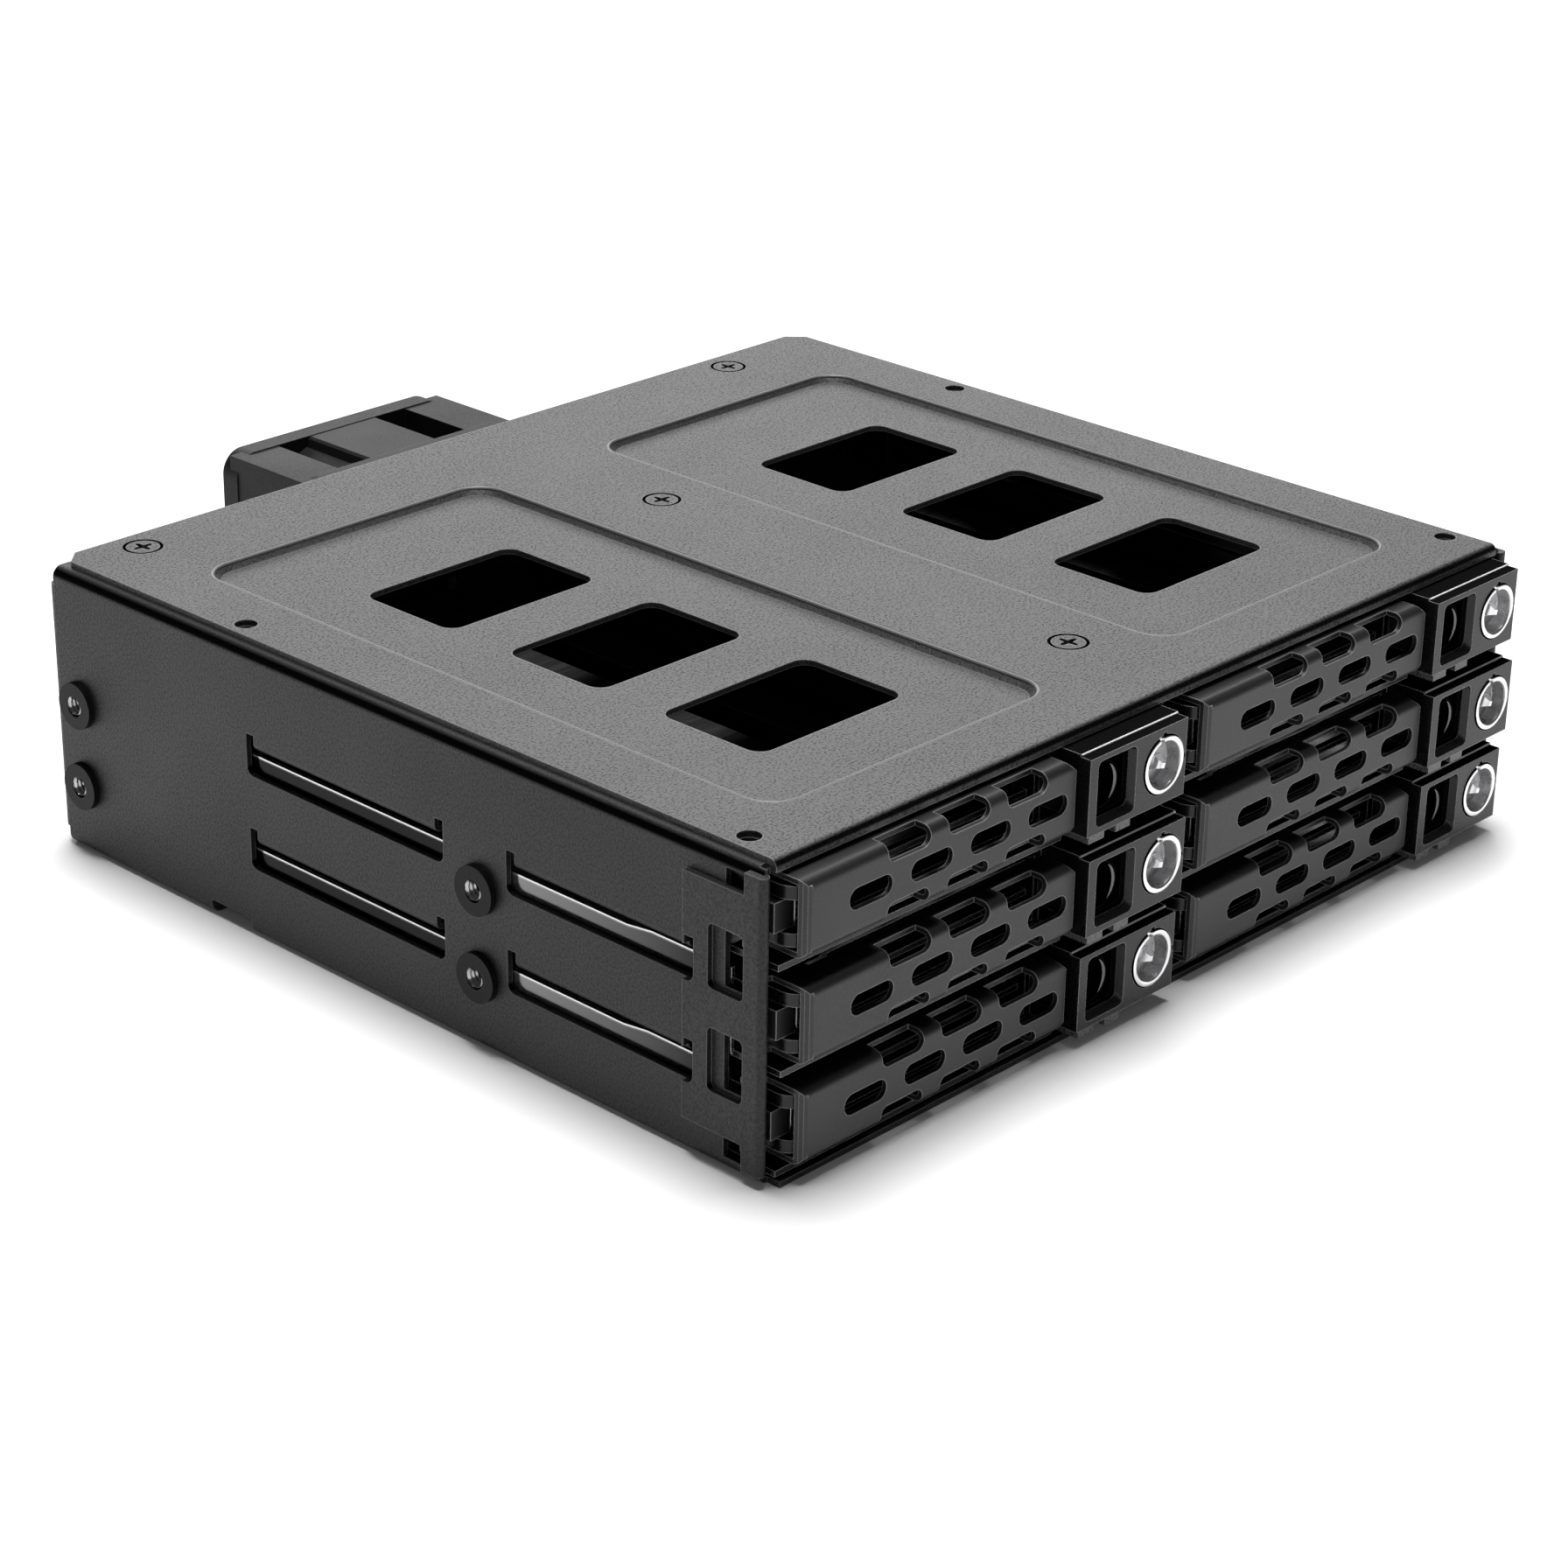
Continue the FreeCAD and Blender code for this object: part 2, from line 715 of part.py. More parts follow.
def side_wall_details(piece, side):
    """One side wall's rear flange, hem, hook windows, shelves and bush holes."""
    outer, inner = half_width * side, inner_half * side
    hem_outer = (half_width + s.wall) * side
    inner_bend = s.bend - s.wall
    flange_end = (half_width - s.rear_flange) * side
    rear = s.cage_depth
    turn_start = rear - s.bend * 2
    # The wall turns inwards at the rear, with its corners relieved top and bottom.
    piece.add("XY", s.rear_relief, shell_top - s.rear_relief,
              outline((outer, turn_start), (outer, rear, s.bend), (flange_end, rear),
                      (flange_end, rear - s.wall), (inner, rear - s.wall, inner_bend),
                      (inner, turn_start)))
    flange_holes = [circle(x, z, s.screw_shank + s.screw_gap) for x, z in PANEL_SCREWS
                    if sign_of(x.value) == side]
    piece.cut("XZ", rear - s.wall * 2, rear + s.wall, *flange_holes)
    # The front edge is folded outwards and lies back on the wall.
    nose = s.wall * 0.95
    piece.add("XY", s.bend, shell_top - s.bend / 2,
              outline((inner, s.hem_strip), (inner, 0, nose), (hem_outer, 0, nose),
                      (hem_outer, s.hem_strip)))
    middle = lever_level(1)
    low, high = sorted((outer, hem_outer), key=lambda size: size.value)
    piece.add("YZ", low, high, rectangle(s.hem_strip, s.hem_reach, middle - s.hem_margin,
                                         middle + s.hem_margin))
    through = sorted((inner, hem_outer), key=lambda size: size.value)
    hook_end = s.hem_strip + s.hook_window_length
    wide_end = s.hem_strip + s.hem_window_length
    gaps = [lever_level(0) + s.tray_pitch / 2, lever_level(1) + s.tray_pitch / 2]
    piece.cut("YZ", low, high, *[
        rectangle(s.hem_strip, wide_end, gap - s.hem_window_half, gap + s.hem_window_half,
                  s.window_round) for gap in gaps])
    windows = [(gap - s.hook_window_half, gap + s.hook_window_half) for gap in gaps]
    windows.append((s.small_window_low, middle - s.hem_margin))
    windows.append((middle + s.hem_margin, shell_top - s.bend))
    piece.cut("YZ", through[0] - s.wall, through[1] + s.wall, *[
        rectangle(s.hem_strip, hook_end, bottom, top) for bottom, top in windows])
    for level in (1, 2):
        for start, end in SLOT_SPANS:
            lanced_shelf(piece, side, shelf_level(level), start, end)
    low, high = sorted((outer, inner), key=lambda size: size.value)
    piece.cut("YZ", low - s.wall, high + s.wall,
              *[circle(y, z, s.bush_barrel + s.bush_gap) for y, z in BUSH_SPOTS])
    notch_low, notch_high = sorted((outer, (half_width - s.edge_notch_inset) * side),
                                   key=lambda size: size.value)
    notch_end = s.edge_notch_start + s.edge_notch_length
    piece.cut("YZ", notch_low - s.wall, notch_high,
              outline((s.edge_notch_start, -s.wall), (notch_end, -s.wall),
                      (notch_end, s.edge_notch_height),
                      (s.edge_notch_start, s.edge_notch_height)))


def lanced_shelf(piece, side, level, start, end):
    """A shelf cut free on three sides and bent inwards from the top edge of its slot."""
    outer, inner = half_width * side, inner_half * side
    low, high = sorted((outer, inner), key=lambda size: size.value)
    bottom = level - s.slot_drop
    relief = level + s.slot_notch_rise
    root = level + s.wall / 4
    notch = s.slot_notch_width
    piece.cut("YZ", low - s.wall, high,
              outline((start, bottom, s.slot_round), (end, bottom, s.slot_round),
                      (end, relief), (end - notch, relief), (end - notch, root),
                      (start + notch, root), (start + notch, relief), (start, relief)))
    tip = (half_width - s.shelf_reach) * side
    piece.add("XZ", start + notch, end - notch,
              outline((outer, root), (outer, level - s.wall, s.shelf_bend),
                      (tip, level - s.wall), (tip, level),
                      (inner, level), (inner, root)))


def side_bushes():
    """Eight threaded bushes, four in each side wall, standing proud of the sheet."""
    piece = Piece("side_bushes", in_cage)
    for side in SIDES:
        rings = [circle(y, z, s.bush_rim) for y, z in BUSH_SPOTS]
        barrels = [circle(y, z, s.bush_barrel) for y, z in BUSH_SPOTS]
        face = (half_width + s.bush_stand) * side
        low, high = sorted((half_width * side, face), key=lambda size: size.value)
        piece.add("YZ", low, high, *rings)
        inner = inner_half * side
        low, high = sorted((inner, half_width * side), key=lambda size: size.value)
        piece.add("YZ", low, high, *barrels)
        low, high = sorted((inner, face), key=lambda size: size.value)
        piece.cut("YZ", low - s.wall, high + s.wall,
                  *[circle(y, z, s.bush_bore) for y, z in BUSH_SPOTS])
    return node(piece.body)


def top_cover():
    """Cover with a rolled front edge, two sunk panels and six windows."""
    piece = Piece("top_cover", in_cage)
    cover_half = half_width - s.cover_inset
    top, under = s.cage_height, shell_top
    rear = s.cage_depth - s.cover_rear_gap
    piece.add("YZ", -cover_half, cover_half,
              outline((s.cover_front, top, s.cover_bend), (rear, top), (rear, under),
                      (s.cover_front + s.cover_sheet, under, s.cover_bend - s.cover_sheet),
                      (s.cover_front + s.cover_sheet, top - s.cover_drop),
                      (s.cover_front, top - s.cover_drop)))
    for side in SIDES:
        piece.cut("XY", under - s.wall, top + s.wall,
                  outline((cover_half * side, rear - s.cover_corner),
                          ((cover_half - s.cover_corner) * side, rear),
                          (cover_half * side, rear)))

    def sunk(side, inset):
        near, far = s.panel_inner + inset, s.panel_outer - inset
        low, high = sorted((near * side, far * side), key=lambda size: size.value)
        return rectangle(low, high, s.panel_front + inset, s.panel_rear - inset,
                         s.panel_round - inset)

    slope = s.panel_slope
    floor_under = under - s.panel_sink
    for side in SIDES:
        piece.loft("AdditiveLoft", "XY", (under + s.cover_sheet / 2, sunk(side, Size.of(0))),
                   (floor_under, sunk(side, slope)))
        piece.loft("SubtractiveLoft", "XY", (top - s.panel_sink, sunk(side, slope)),
                   (top, sunk(side, Size.of(0))))
    piece.cut("XY", floor_under - s.wall, top + s.wall, *[
        centred(s.vent_across * side, s.vent_first + s.vent_pitch * i, s.vent_width,
                s.vent_length, s.vent_round) for side in SIDES for i in range(3)])
    piece.cut("XY", under - s.wall, top + s.wall,
              *[circle(x, y, s.cover_hole_radius) for x, y in COVER_HOLES])
    for x, y in MID_SCREWS + REAR_SCREWS:
        piece.loft("SubtractiveLoft", "XY", (under, circle(x, y, s.screw_neck + s.screw_gap)),
                   (top, circle(x, y, s.screw_head + s.screw_gap)))
    return node(piece.body)


def cover_screws():
    """Four countersunk screws through the cover."""
    form = Piece("cover_screw_form")
    neck = -s.cover_sheet
    form.turn(outline((0, 0), (s.screw_head, 0), (s.screw_neck, neck),
                      (s.screw_shank, neck), (s.screw_shank, -s.screw_length),
                      (0, -s.screw_length)))
    pieces = []
    for i, (x, y) in enumerate(MID_SCREWS + REAR_SCREWS):
        link = copy_of(form.body, "cover_screw_" + str(i + 1), (x, front + y, s.cage_height))
        upright(link)
        pieces.append(link)
    return group("cover_screws", pieces)


def upright(thing):
    """Turns a piece that was made along +Y so that it stands along +Z."""
    turned = FreeCAD.Rotation(FreeCAD.Vector(1, 0, 0), 90)
    thing.Placement = FreeCAD.Placement(thing.Placement.Base, turned)


def centre_divider():
    """Upright sheet between the two columns, with shelves lanced to both sides."""
    piece = Piece("centre_divider", in_cage)
    half = s.divider_sheet / 2
    piece.add("XZ", s.divider_front, s.divider_rear,
              outline((-half, s.wall), (half, s.wall), (half, shell_top - s.divider_sheet),
                      (s.divider_flange, shell_top - s.divider_sheet),
                      (s.divider_flange, shell_top), (-half, shell_top)))
    piece.add("XY", 0, s.wall * 2, *[
        rectangle(-half, half, divider_tab_start(i), divider_tab_start(i) + s.divider_tab)
        for i in DIVIDER_TABS])
    for level in (1, 2):
        shelf = shelf_level(level)
        for i in range(4):
            side = SIDES[i % 2]
            start = s.divider_shelf_first + s.divider_shelf_pitch * i
            end = start + s.divider_shelf_length
            piece.cut("YZ", -half - s.wall, half + s.wall,
                      rectangle(start, end, shelf - s.slot_drop, shelf))
            face, tip = half * side, (half + s.divider_shelf_reach) * side
            low, high = sorted((-face, tip), key=lambda size: size.value)
            piece.add("XZ", start + s.slot_notch_width, end - s.slot_notch_width,
                      rectangle(low, high, shelf - s.divider_sheet, shelf))
            root_low, root_high = -half, half
            piece.add("XZ", start + s.slot_notch_width, end - s.slot_notch_width,
                      rectangle(root_low, root_high, shelf - s.divider_sheet / 2,
                                shelf + s.divider_sheet / 2))
    piece.cut("XY", shell_top - s.divider_sheet * 2, shell_top + s.wall,
              *[circle(x, y, s.screw_shank + s.screw_gap) for x, y in MID_SCREWS])
    return node(piece.body)


def rear_panel():
    """Rear panel with a top flange, the fan opening and the connector openings."""
    piece = Piece("rear_panel", in_cage)
    back = s.cage_depth - s.wall
    face = back - s.wall
    half = inner_half - s.panel_side_gap
    piece.add("XZ", face, back,
              rectangle(-half, half, s.wall, shell_top - s.wall - s.panel_top_gap))
    piece.add("YZ", -s.top_flange_half, s.top_flange_half,
              outline((back, s.wall * 2), (back, shell_top, s.bend),
                      (back - s.top_flange_reach, shell_top),
                      (back - s.top_flange_reach, shell_top - s.wall),
                      (face, shell_top - s.wall, s.bend - s.wall), (face, s.wall * 2)))
    openings = [circle(s.fan_across, s.fan_centre, s.fan_bore)]
    openings += [circle(s.fan_across + x, s.fan_centre + z, s.fan_screw + s.screw_gap)
                 for x, z in FAN_HOLES]
    openings += [centred(x, z, s.data_port_width + s.port_gap * 2,
                         s.data_port_height + s.port_gap * 2) for x, z in DATA_PORTS]
    openings += [centred(x, z, s.power_port_width + s.port_gap * 2,
                         s.power_port_height + s.port_gap * 2) for x, z in POWER_PORTS]
    openings += [circle(x, z, s.screw_shank + s.screw_gap) for x, z in PANEL_SCREWS]
    piece.cut("XZ", face - s.wall, back + s.wall, *openings)
    piece.cut("XY", shell_top - s.wall * 2, shell_top + s.wall,
              *[circle(x, y, s.screw_shank + s.screw_gap) for x, y in REAR_SCREWS])
    return node(piece.body)


def backplane_board():
    """Circuit board across the cage, with air openings between the connector rows."""
    piece = Piece("backplane_board", in_cage)
    rear = s.board_front + s.board_sheet
    piece.add("XZ", s.board_front, rear,
              rectangle(-s.board_half, s.board_half, s.board_low, s.board_high))
    vents = []
    for side in SIDES:
        for level in (1, 2):
            height = row_base(level) - s.tray_pitch + s.drive_socket_lift + s.tray_pitch / 2
            vents.append(centred(s.column_pitch / 2 * side, height, s.board_vent_half * 2,
                                 s.board_vent_height))
    holes = [circle(x, z, s.screw_shank + s.screw_gap) for x, z in POSTS]
    piece.cut("XZ", s.board_front - s.wall, rear + s.wall, *(vents + holes))
    return node(piece.body)


def board_posts():
    """Four six-sided posts that hold the board off the rear panel."""
    piece = Piece("board_posts", in_cage)
    start, end = s.board_front + s.board_sheet, s.cage_depth - s.wall * 2
    piece.add("XZ", start, end, *[hexagon(x, z, s.post_radius) for x, z in POSTS])
    piece.cut("XZ", start - s.wall, end + s.wall,
              *[circle(x, z, s.screw_shank + s.screw_gap) for x, z in POSTS])
    return node(piece.body)


def pan_screws(label, spots, face, direction, length):
    """Pan head screws seated on a face, their shanks running along +Y or -Y from it."""
    piece = Piece(label, in_cage)
    head_end = face - s.board_head_height * direction
    shank_end = face + length * direction
    for far, radius in ((head_end, s.board_head), (shank_end, s.screw_shank)):
        low, high = sorted((Size.of(face), far), key=lambda size: size.value)
        piece.add("XZ", low, high, *[circle(x, z, radius) for x, z in spots])
    return node(piece.body)


def drive_connectors():
    """Six combined data and power sockets, one behind each tray."""
    form = Piece("drive_connector_form")
    half = s.drive_socket_width / 2
    start = -s.drive_socket_depth
    form.add("XZ", start, 0, centred(0, 0, s.drive_socket_width, s.drive_socket_height))
    slots_width = s.signal_slot_width + s.slot_rib + s.power_slot_width
    left = -(slots_width / 2)
    right = slots_width / 2
    slot_half = s.drive_slot_height / 2
    form.cut("XZ", start - s.wall, start + s.drive_slot_depth,
             rectangle(left, left + s.signal_slot_width, -slot_half, slot_half),
             rectangle(right - s.power_slot_width, right, -slot_half, slot_half))
    # Guide horns stand proud at both ends.
    horn = s.slot_rib
    form.add("XZ", start - horn, start,
             rectangle(-half, -half + horn * 2, -horn, horn),
             rectangle(half - horn * 2, half, -horn, horn))
    pieces = []
    for column, side in COLUMNS.items():
        for row, level in ROWS.items():
            place = (s.column_pitch / 2 * side, front + s.board_front,
                     row_base(level) + s.drive_socket_lift)
            pieces.append(copy_of(form.body, "drive_connector_" + column + row, place))
    return group("drive_connectors", pieces)


def ports(label, spots, width, height):
    """Hooded connectors on the board, seen through the rear panel."""
    piece = Piece(label, in_cage)
    start = s.board_front + s.board_sheet
    end = s.cage_depth - s.wall
    mouth = end - s.port_depth
    piece.add("XZ", start, end, *[centred(x, z, width, height) for x, z in spots])
    piece.cut("XZ", mouth, end + s.wall, *[
        centred(x, z, width - s.port_rim * 2, height - s.port_rim * 2) for x, z in spots])
    piece.add("XZ", mouth - s.wall, end - s.port_rim, *[
        centred(x, z, width - s.port_rim * 4, s.port_tongue) for x, z in spots])
    return node(piece.body)


def fan_place():
    return (s.fan_across, front + s.cage_depth - s.wall, s.fan_centre)


def fan_frame():
    """Square fan frame: two flanges, corners, a round shroud, and struts to the motor cup."""
    piece = Piece("fan_frame", fan_place())
    rear_start = s.fan_depth - s.fan_flange
    square = centred(0, 0, s.fan_side, s.fan_side, s.fan_round)
    piece.add("XZ", 0, s.fan_flange, square)
    piece.add("XZ", rear_start, s.fan_depth, square)
    piece.add("XZ", s.fan_flange / 2, rear_start + s.fan_flange / 2, circle(0, 0, s.fan_shroud))
    corner = s.fan_corner / 2
    piece.add("XZ", s.fan_flange / 2, rear_start + s.fan_flange / 2, *[
        rectangle(x - corner, x + corner, z - corner, z + corner) for x, z in FAN_HOLES])
    piece.cut("XZ", -s.wall, s.fan_depth + s.wall, circle(0, 0, s.fan_bore),
              *[circle(x, z, s.fan_hole) for x, z in FAN_HOLES])
    half = s.fan_strut / 2
    reach = s.fan_bore + s.wall / 2
    piece.add("XZ", rear_start, s.fan_depth, rectangle(-reach, reach, -half, half))
    piece.add("XZ", rear_start, s.fan_depth, rectangle(-half, half, -reach, reach))
    piece.add("XZ", rear_start, s.fan_depth, circle(0, 0, s.fan_cup))
    piece.cut("XZ", rear_start - s.wall, s.fan_depth - s.wall,
              circle(0, 0, s.fan_shaft + s.shaft_gap))
    return node(piece.body)


def fan_rotor():
    """Hub with seven curved blades and the shaft that runs in the motor cup."""
    piece = Piece("fan_rotor", fan_place())
    hub_end = s.fan_depth - s.fan_flange - s.fan_gap
    shaft_end = s.fan_depth - s.wall - s.fan_gap
    piece.turn(outline((0, s.fan_hub_front), (s.fan_hub, s.fan_hub_front),
                       (s.fan_hub, hub_end), (s.fan_shaft, hub_end),
                       (s.fan_shaft, shaft_end), (0, shaft_end)))

    # Each blade leaves the rotor straight and meets the air at a slant.
    section = crescent(s.fan_blade_curve - s.fan_blade_lead, s.fan_blade_rear, s.fan_blade_curve,
                       s.fan_blade_sheet, s.fan_blade_rear - s.fan_blade_front)
    blade = piece.add("XY", s.fan_hub * 0.9, s.fan_blade_tip * 0.96, section)
    ring = piece.feature("PolarPattern", Originals=[blade],
                         Axis=(piece.origin("Y_Axis"), [""]), Angle=360)
    bind(ring, "Occurrences", s.fan_blades)
    piece.body.Tip = ring
    return node(piece.body)


def fan_screws():
    """Four long screws through the fan's corners into the rear panel."""
    piece = Piece("fan_screws", fan_place())
    piece.add("XZ", -s.fan_screw_grip, s.fan_depth,
              *[circle(x, z, s.fan_screw) for x, z in FAN_HOLES])
    piece.add("XZ", s.fan_depth, s.fan_depth + s.fan_screw_head_height,
              *[circle(x, z, s.fan_screw_head) for x, z in FAN_HOLES])
    return node(piece.body)


def in_every_tray(kind, build, offset=(0, 0, 0)):
    """Builds one tray's piece and repeats it in the other five places."""
    source = None
    for column in COLUMNS:
        for row in ROWS:
            label = "tray_" + column + "_" + row + "_" + kind
            place = tuple(a + b for a, b in zip(tray_place(column, row), offset))
            if source is None:
                source = build(Piece(label, place)).body
                node(source)
            else:
                node(copy_of(source, label, place))


def tray_pan(piece):
    """Steel pan: slotted floor and two plain sides, a little higher at the front."""
    half = s.tray_width / 2
    inner = half - s.pan_sheet
    high = s.pan_side_front
    inner_bend = s.pan_bend - s.pan_sheet
    piece.add("XZ", s.pan_front, s.pan_rear,
              outline((-half, high), (-half, 0, s.pan_bend), (half, 0, s.pan_bend), (half, high),
                      (inner, high), (inner, s.pan_sheet, inner_bend),
                      (-inner, s.pan_sheet, inner_bend), (-inner, high)))
    above = high + s.pan_sheet
    beyond = s.pan_rear + s.pan_sheet
    piece.cut("YZ", -half - s.pan_sheet, half + s.pan_sheet,
              outline((s.pan_step_start, high), (s.pan_step_start, above), (beyond, above),
                      (beyond, s.pan_side), (s.pan_step_end, s.pan_side)))
    middle = (s.pan_slot_start + s.pan_slot_end) / 2
    length = s.pan_slot_end - s.pan_slot_start
    slots = [centred(s.pan_slot_pitch * i, middle, s.pan_slot_width, length)
             for i in range(-2, 3)]
    rows = [s.pan_rear - s.drive_hole_rear, s.pan_rear - s.drive_hole_front]
    holes = [circle(s.drive_hole_across / 2 * side, y, s.drive_hole)
             for side in SIDES for y in rows]
    piece.cut("XY", -s.pan_sheet, s.pan_sheet * 2, *(slots + holes))
    return piece


def light_spans():
    """Left edge and width of the two light pipes."""
    return ((s.block_left + s.light_first, s.light_first_width),
            (s.block_left + s.light_second, s.light_second_width))


def tray_front(piece):
    """Moulded tray front: vent grille, lever ears, lock block and the tongues in the pan."""
    half = s.tray_width / 2 - s.front_margin
    back = s.pan_front
    centre = s.lever_centre
    left, right = s.block_left, s.block_right
    low, high = centre - s.block_height / 2, centre + s.block_height / 2
    neck_low, neck_high = centre - s.grille_neck_half, centre + s.grille_neck_half
    # Lock block and vent grille, narrow at the left where the lever's hooks swing
    piece.add("XZ", s.front_face, back, rectangle(left, right, low, high))
    piece.add("XZ", s.grille_front, back,
              outline((-half, neck_low), (s.grille_left, neck_low),
                      (s.grille_left, s.grille_low), (half, s.grille_low),
                      (half, s.grille_high), (s.grille_left, s.grille_high),
                      (s.grille_left, neck_high), (-half, neck_high)))
    piece.add("XY", s.grille_low, s.grille_low + s.sill_sheet,
              rectangle(-half, left - s.wall, s.sill_front, back))
    rail = s.grille_rail
    opening_left = s.pin_across + s.ear_radius * 2
    piece.cut("XZ", s.grille_front - s.wall, back + s.wall,
              rectangle(s.grille_left + rail, left - rail, s.grille_low + s.sill_sheet + rail / 2,
                        s.grille_high - rail),
              rectangle(opening_left, s.grille_left + rail * 2, neck_low + rail,
                        neck_high - rail))
    bars = [centred((opening_left + left) / 2, centre + s.grille_bar_pitch * (i - 0.5),
                    left - opening_left, s.grille_bar) for i in range(2)]
    piece.add("XZ", s.grille_front + rail, back - rail, *bars)
    # Step along the block's top front edge
    piece.cut("XZ", s.front_face - s.wall, s.front_face + s.block_step_back,
              rectangle(left - s.wall, right + s.wall, high - s.block_step_drop,
                        high + s.wall))
    # Ears above and below the lever's foot, round the pin
    for up in SIDES:
        neck = centre + s.grille_neck_half * up
        bottom, top = sorted((centre + s.ear_low * up, neck), key=lambda size: size.value)
        piece.add("XY", bottom, top, circle(s.pin_across, s.pin_back, s.ear_radius))
        piece.add("XY", bottom, top,
                  rectangle(s.pin_across - s.ear_radius, s.pin_across + s.ear_radius,
                            s.pin_back, s.grille_front + s.wall))
    sweep = s.foot_back - s.pin_back + (s.pin_across - s.foot_left)
    piece.cut("XY", centre - s.ear_low, centre + s.ear_low,
              rectangle(-half - s.wall, s.pin_across + sweep, s.grille_front - s.wall,
                        back - s.grille_rail))
    piece.cut("XY", s.grille_low, s.grille_high,
              circle(s.pin_across, s.pin_back, s.pin_radius))
    # Tongues that clip inside the pan's sides
    tongue = s.tray_width / 2 - s.pan_sheet - s.tongue_gap
    for side in SIDES:
        inside, outside = sorted((tongue * side, (tongue - s.tongue_sheet) * side),
                                 key=lambda size: size.value)
        piece.add("XZ", back - s.grille_rail, back + s.tongue_reach,
                  rectangle(inside, outside, centre - s.tongue_half + s.grille_rail,
                            centre + s.tongue_half - s.grille_rail))
    # Bevelled button window, the button's pocket and the latch slot
    x0, x1 = left + s.window_left, left + s.window_right
    z0, z1 = low + s.window_low, high - s.window_high
    pocket = rectangle(x0, x1 - s.bevel_right, z0 + s.bevel_low, z1, s.window_corner)
    floor = s.front_face + s.bevel_depth
    piece.loft("SubtractiveLoft", "XZ",
               (s.front_face, rectangle(x0, x1, z0, z1, s.window_corner)), (floor, pocket))
    piece.cut("XZ", floor, s.pocket_end, pocket)
    piece.cut("YZ", left - s.wall, x0 + s.wall,
              rectangle(s.nose_slot_front, s.nose_slot_back, centre - s.nose_slot_half,
                        centre + s.nose_slot_half))
    # Channels for the light pipes, open below
    channels = [rectangle(x - s.light_gap, x + width + s.light_gap, s.grille_low - s.wall, low)
                for x, width in light_spans()]
    piece.cut("XZ", s.grille_front - s.wall, back + s.wall, *channels)
    # Lock bore with two index notches
    piece.cut("XZ", s.front_face, back + s.wall, circle(s.lock_across, centre, s.lock_bore))
    notch = s.index_notch
    for x, z in ((s.lock_across, centre + s.lock_bore), (s.lock_across + s.lock_bore, centre)):
        piece.cut("XZ", s.front_face, s.front_face + notch, centred(x, z, notch * 2, notch * 2))
    return piece


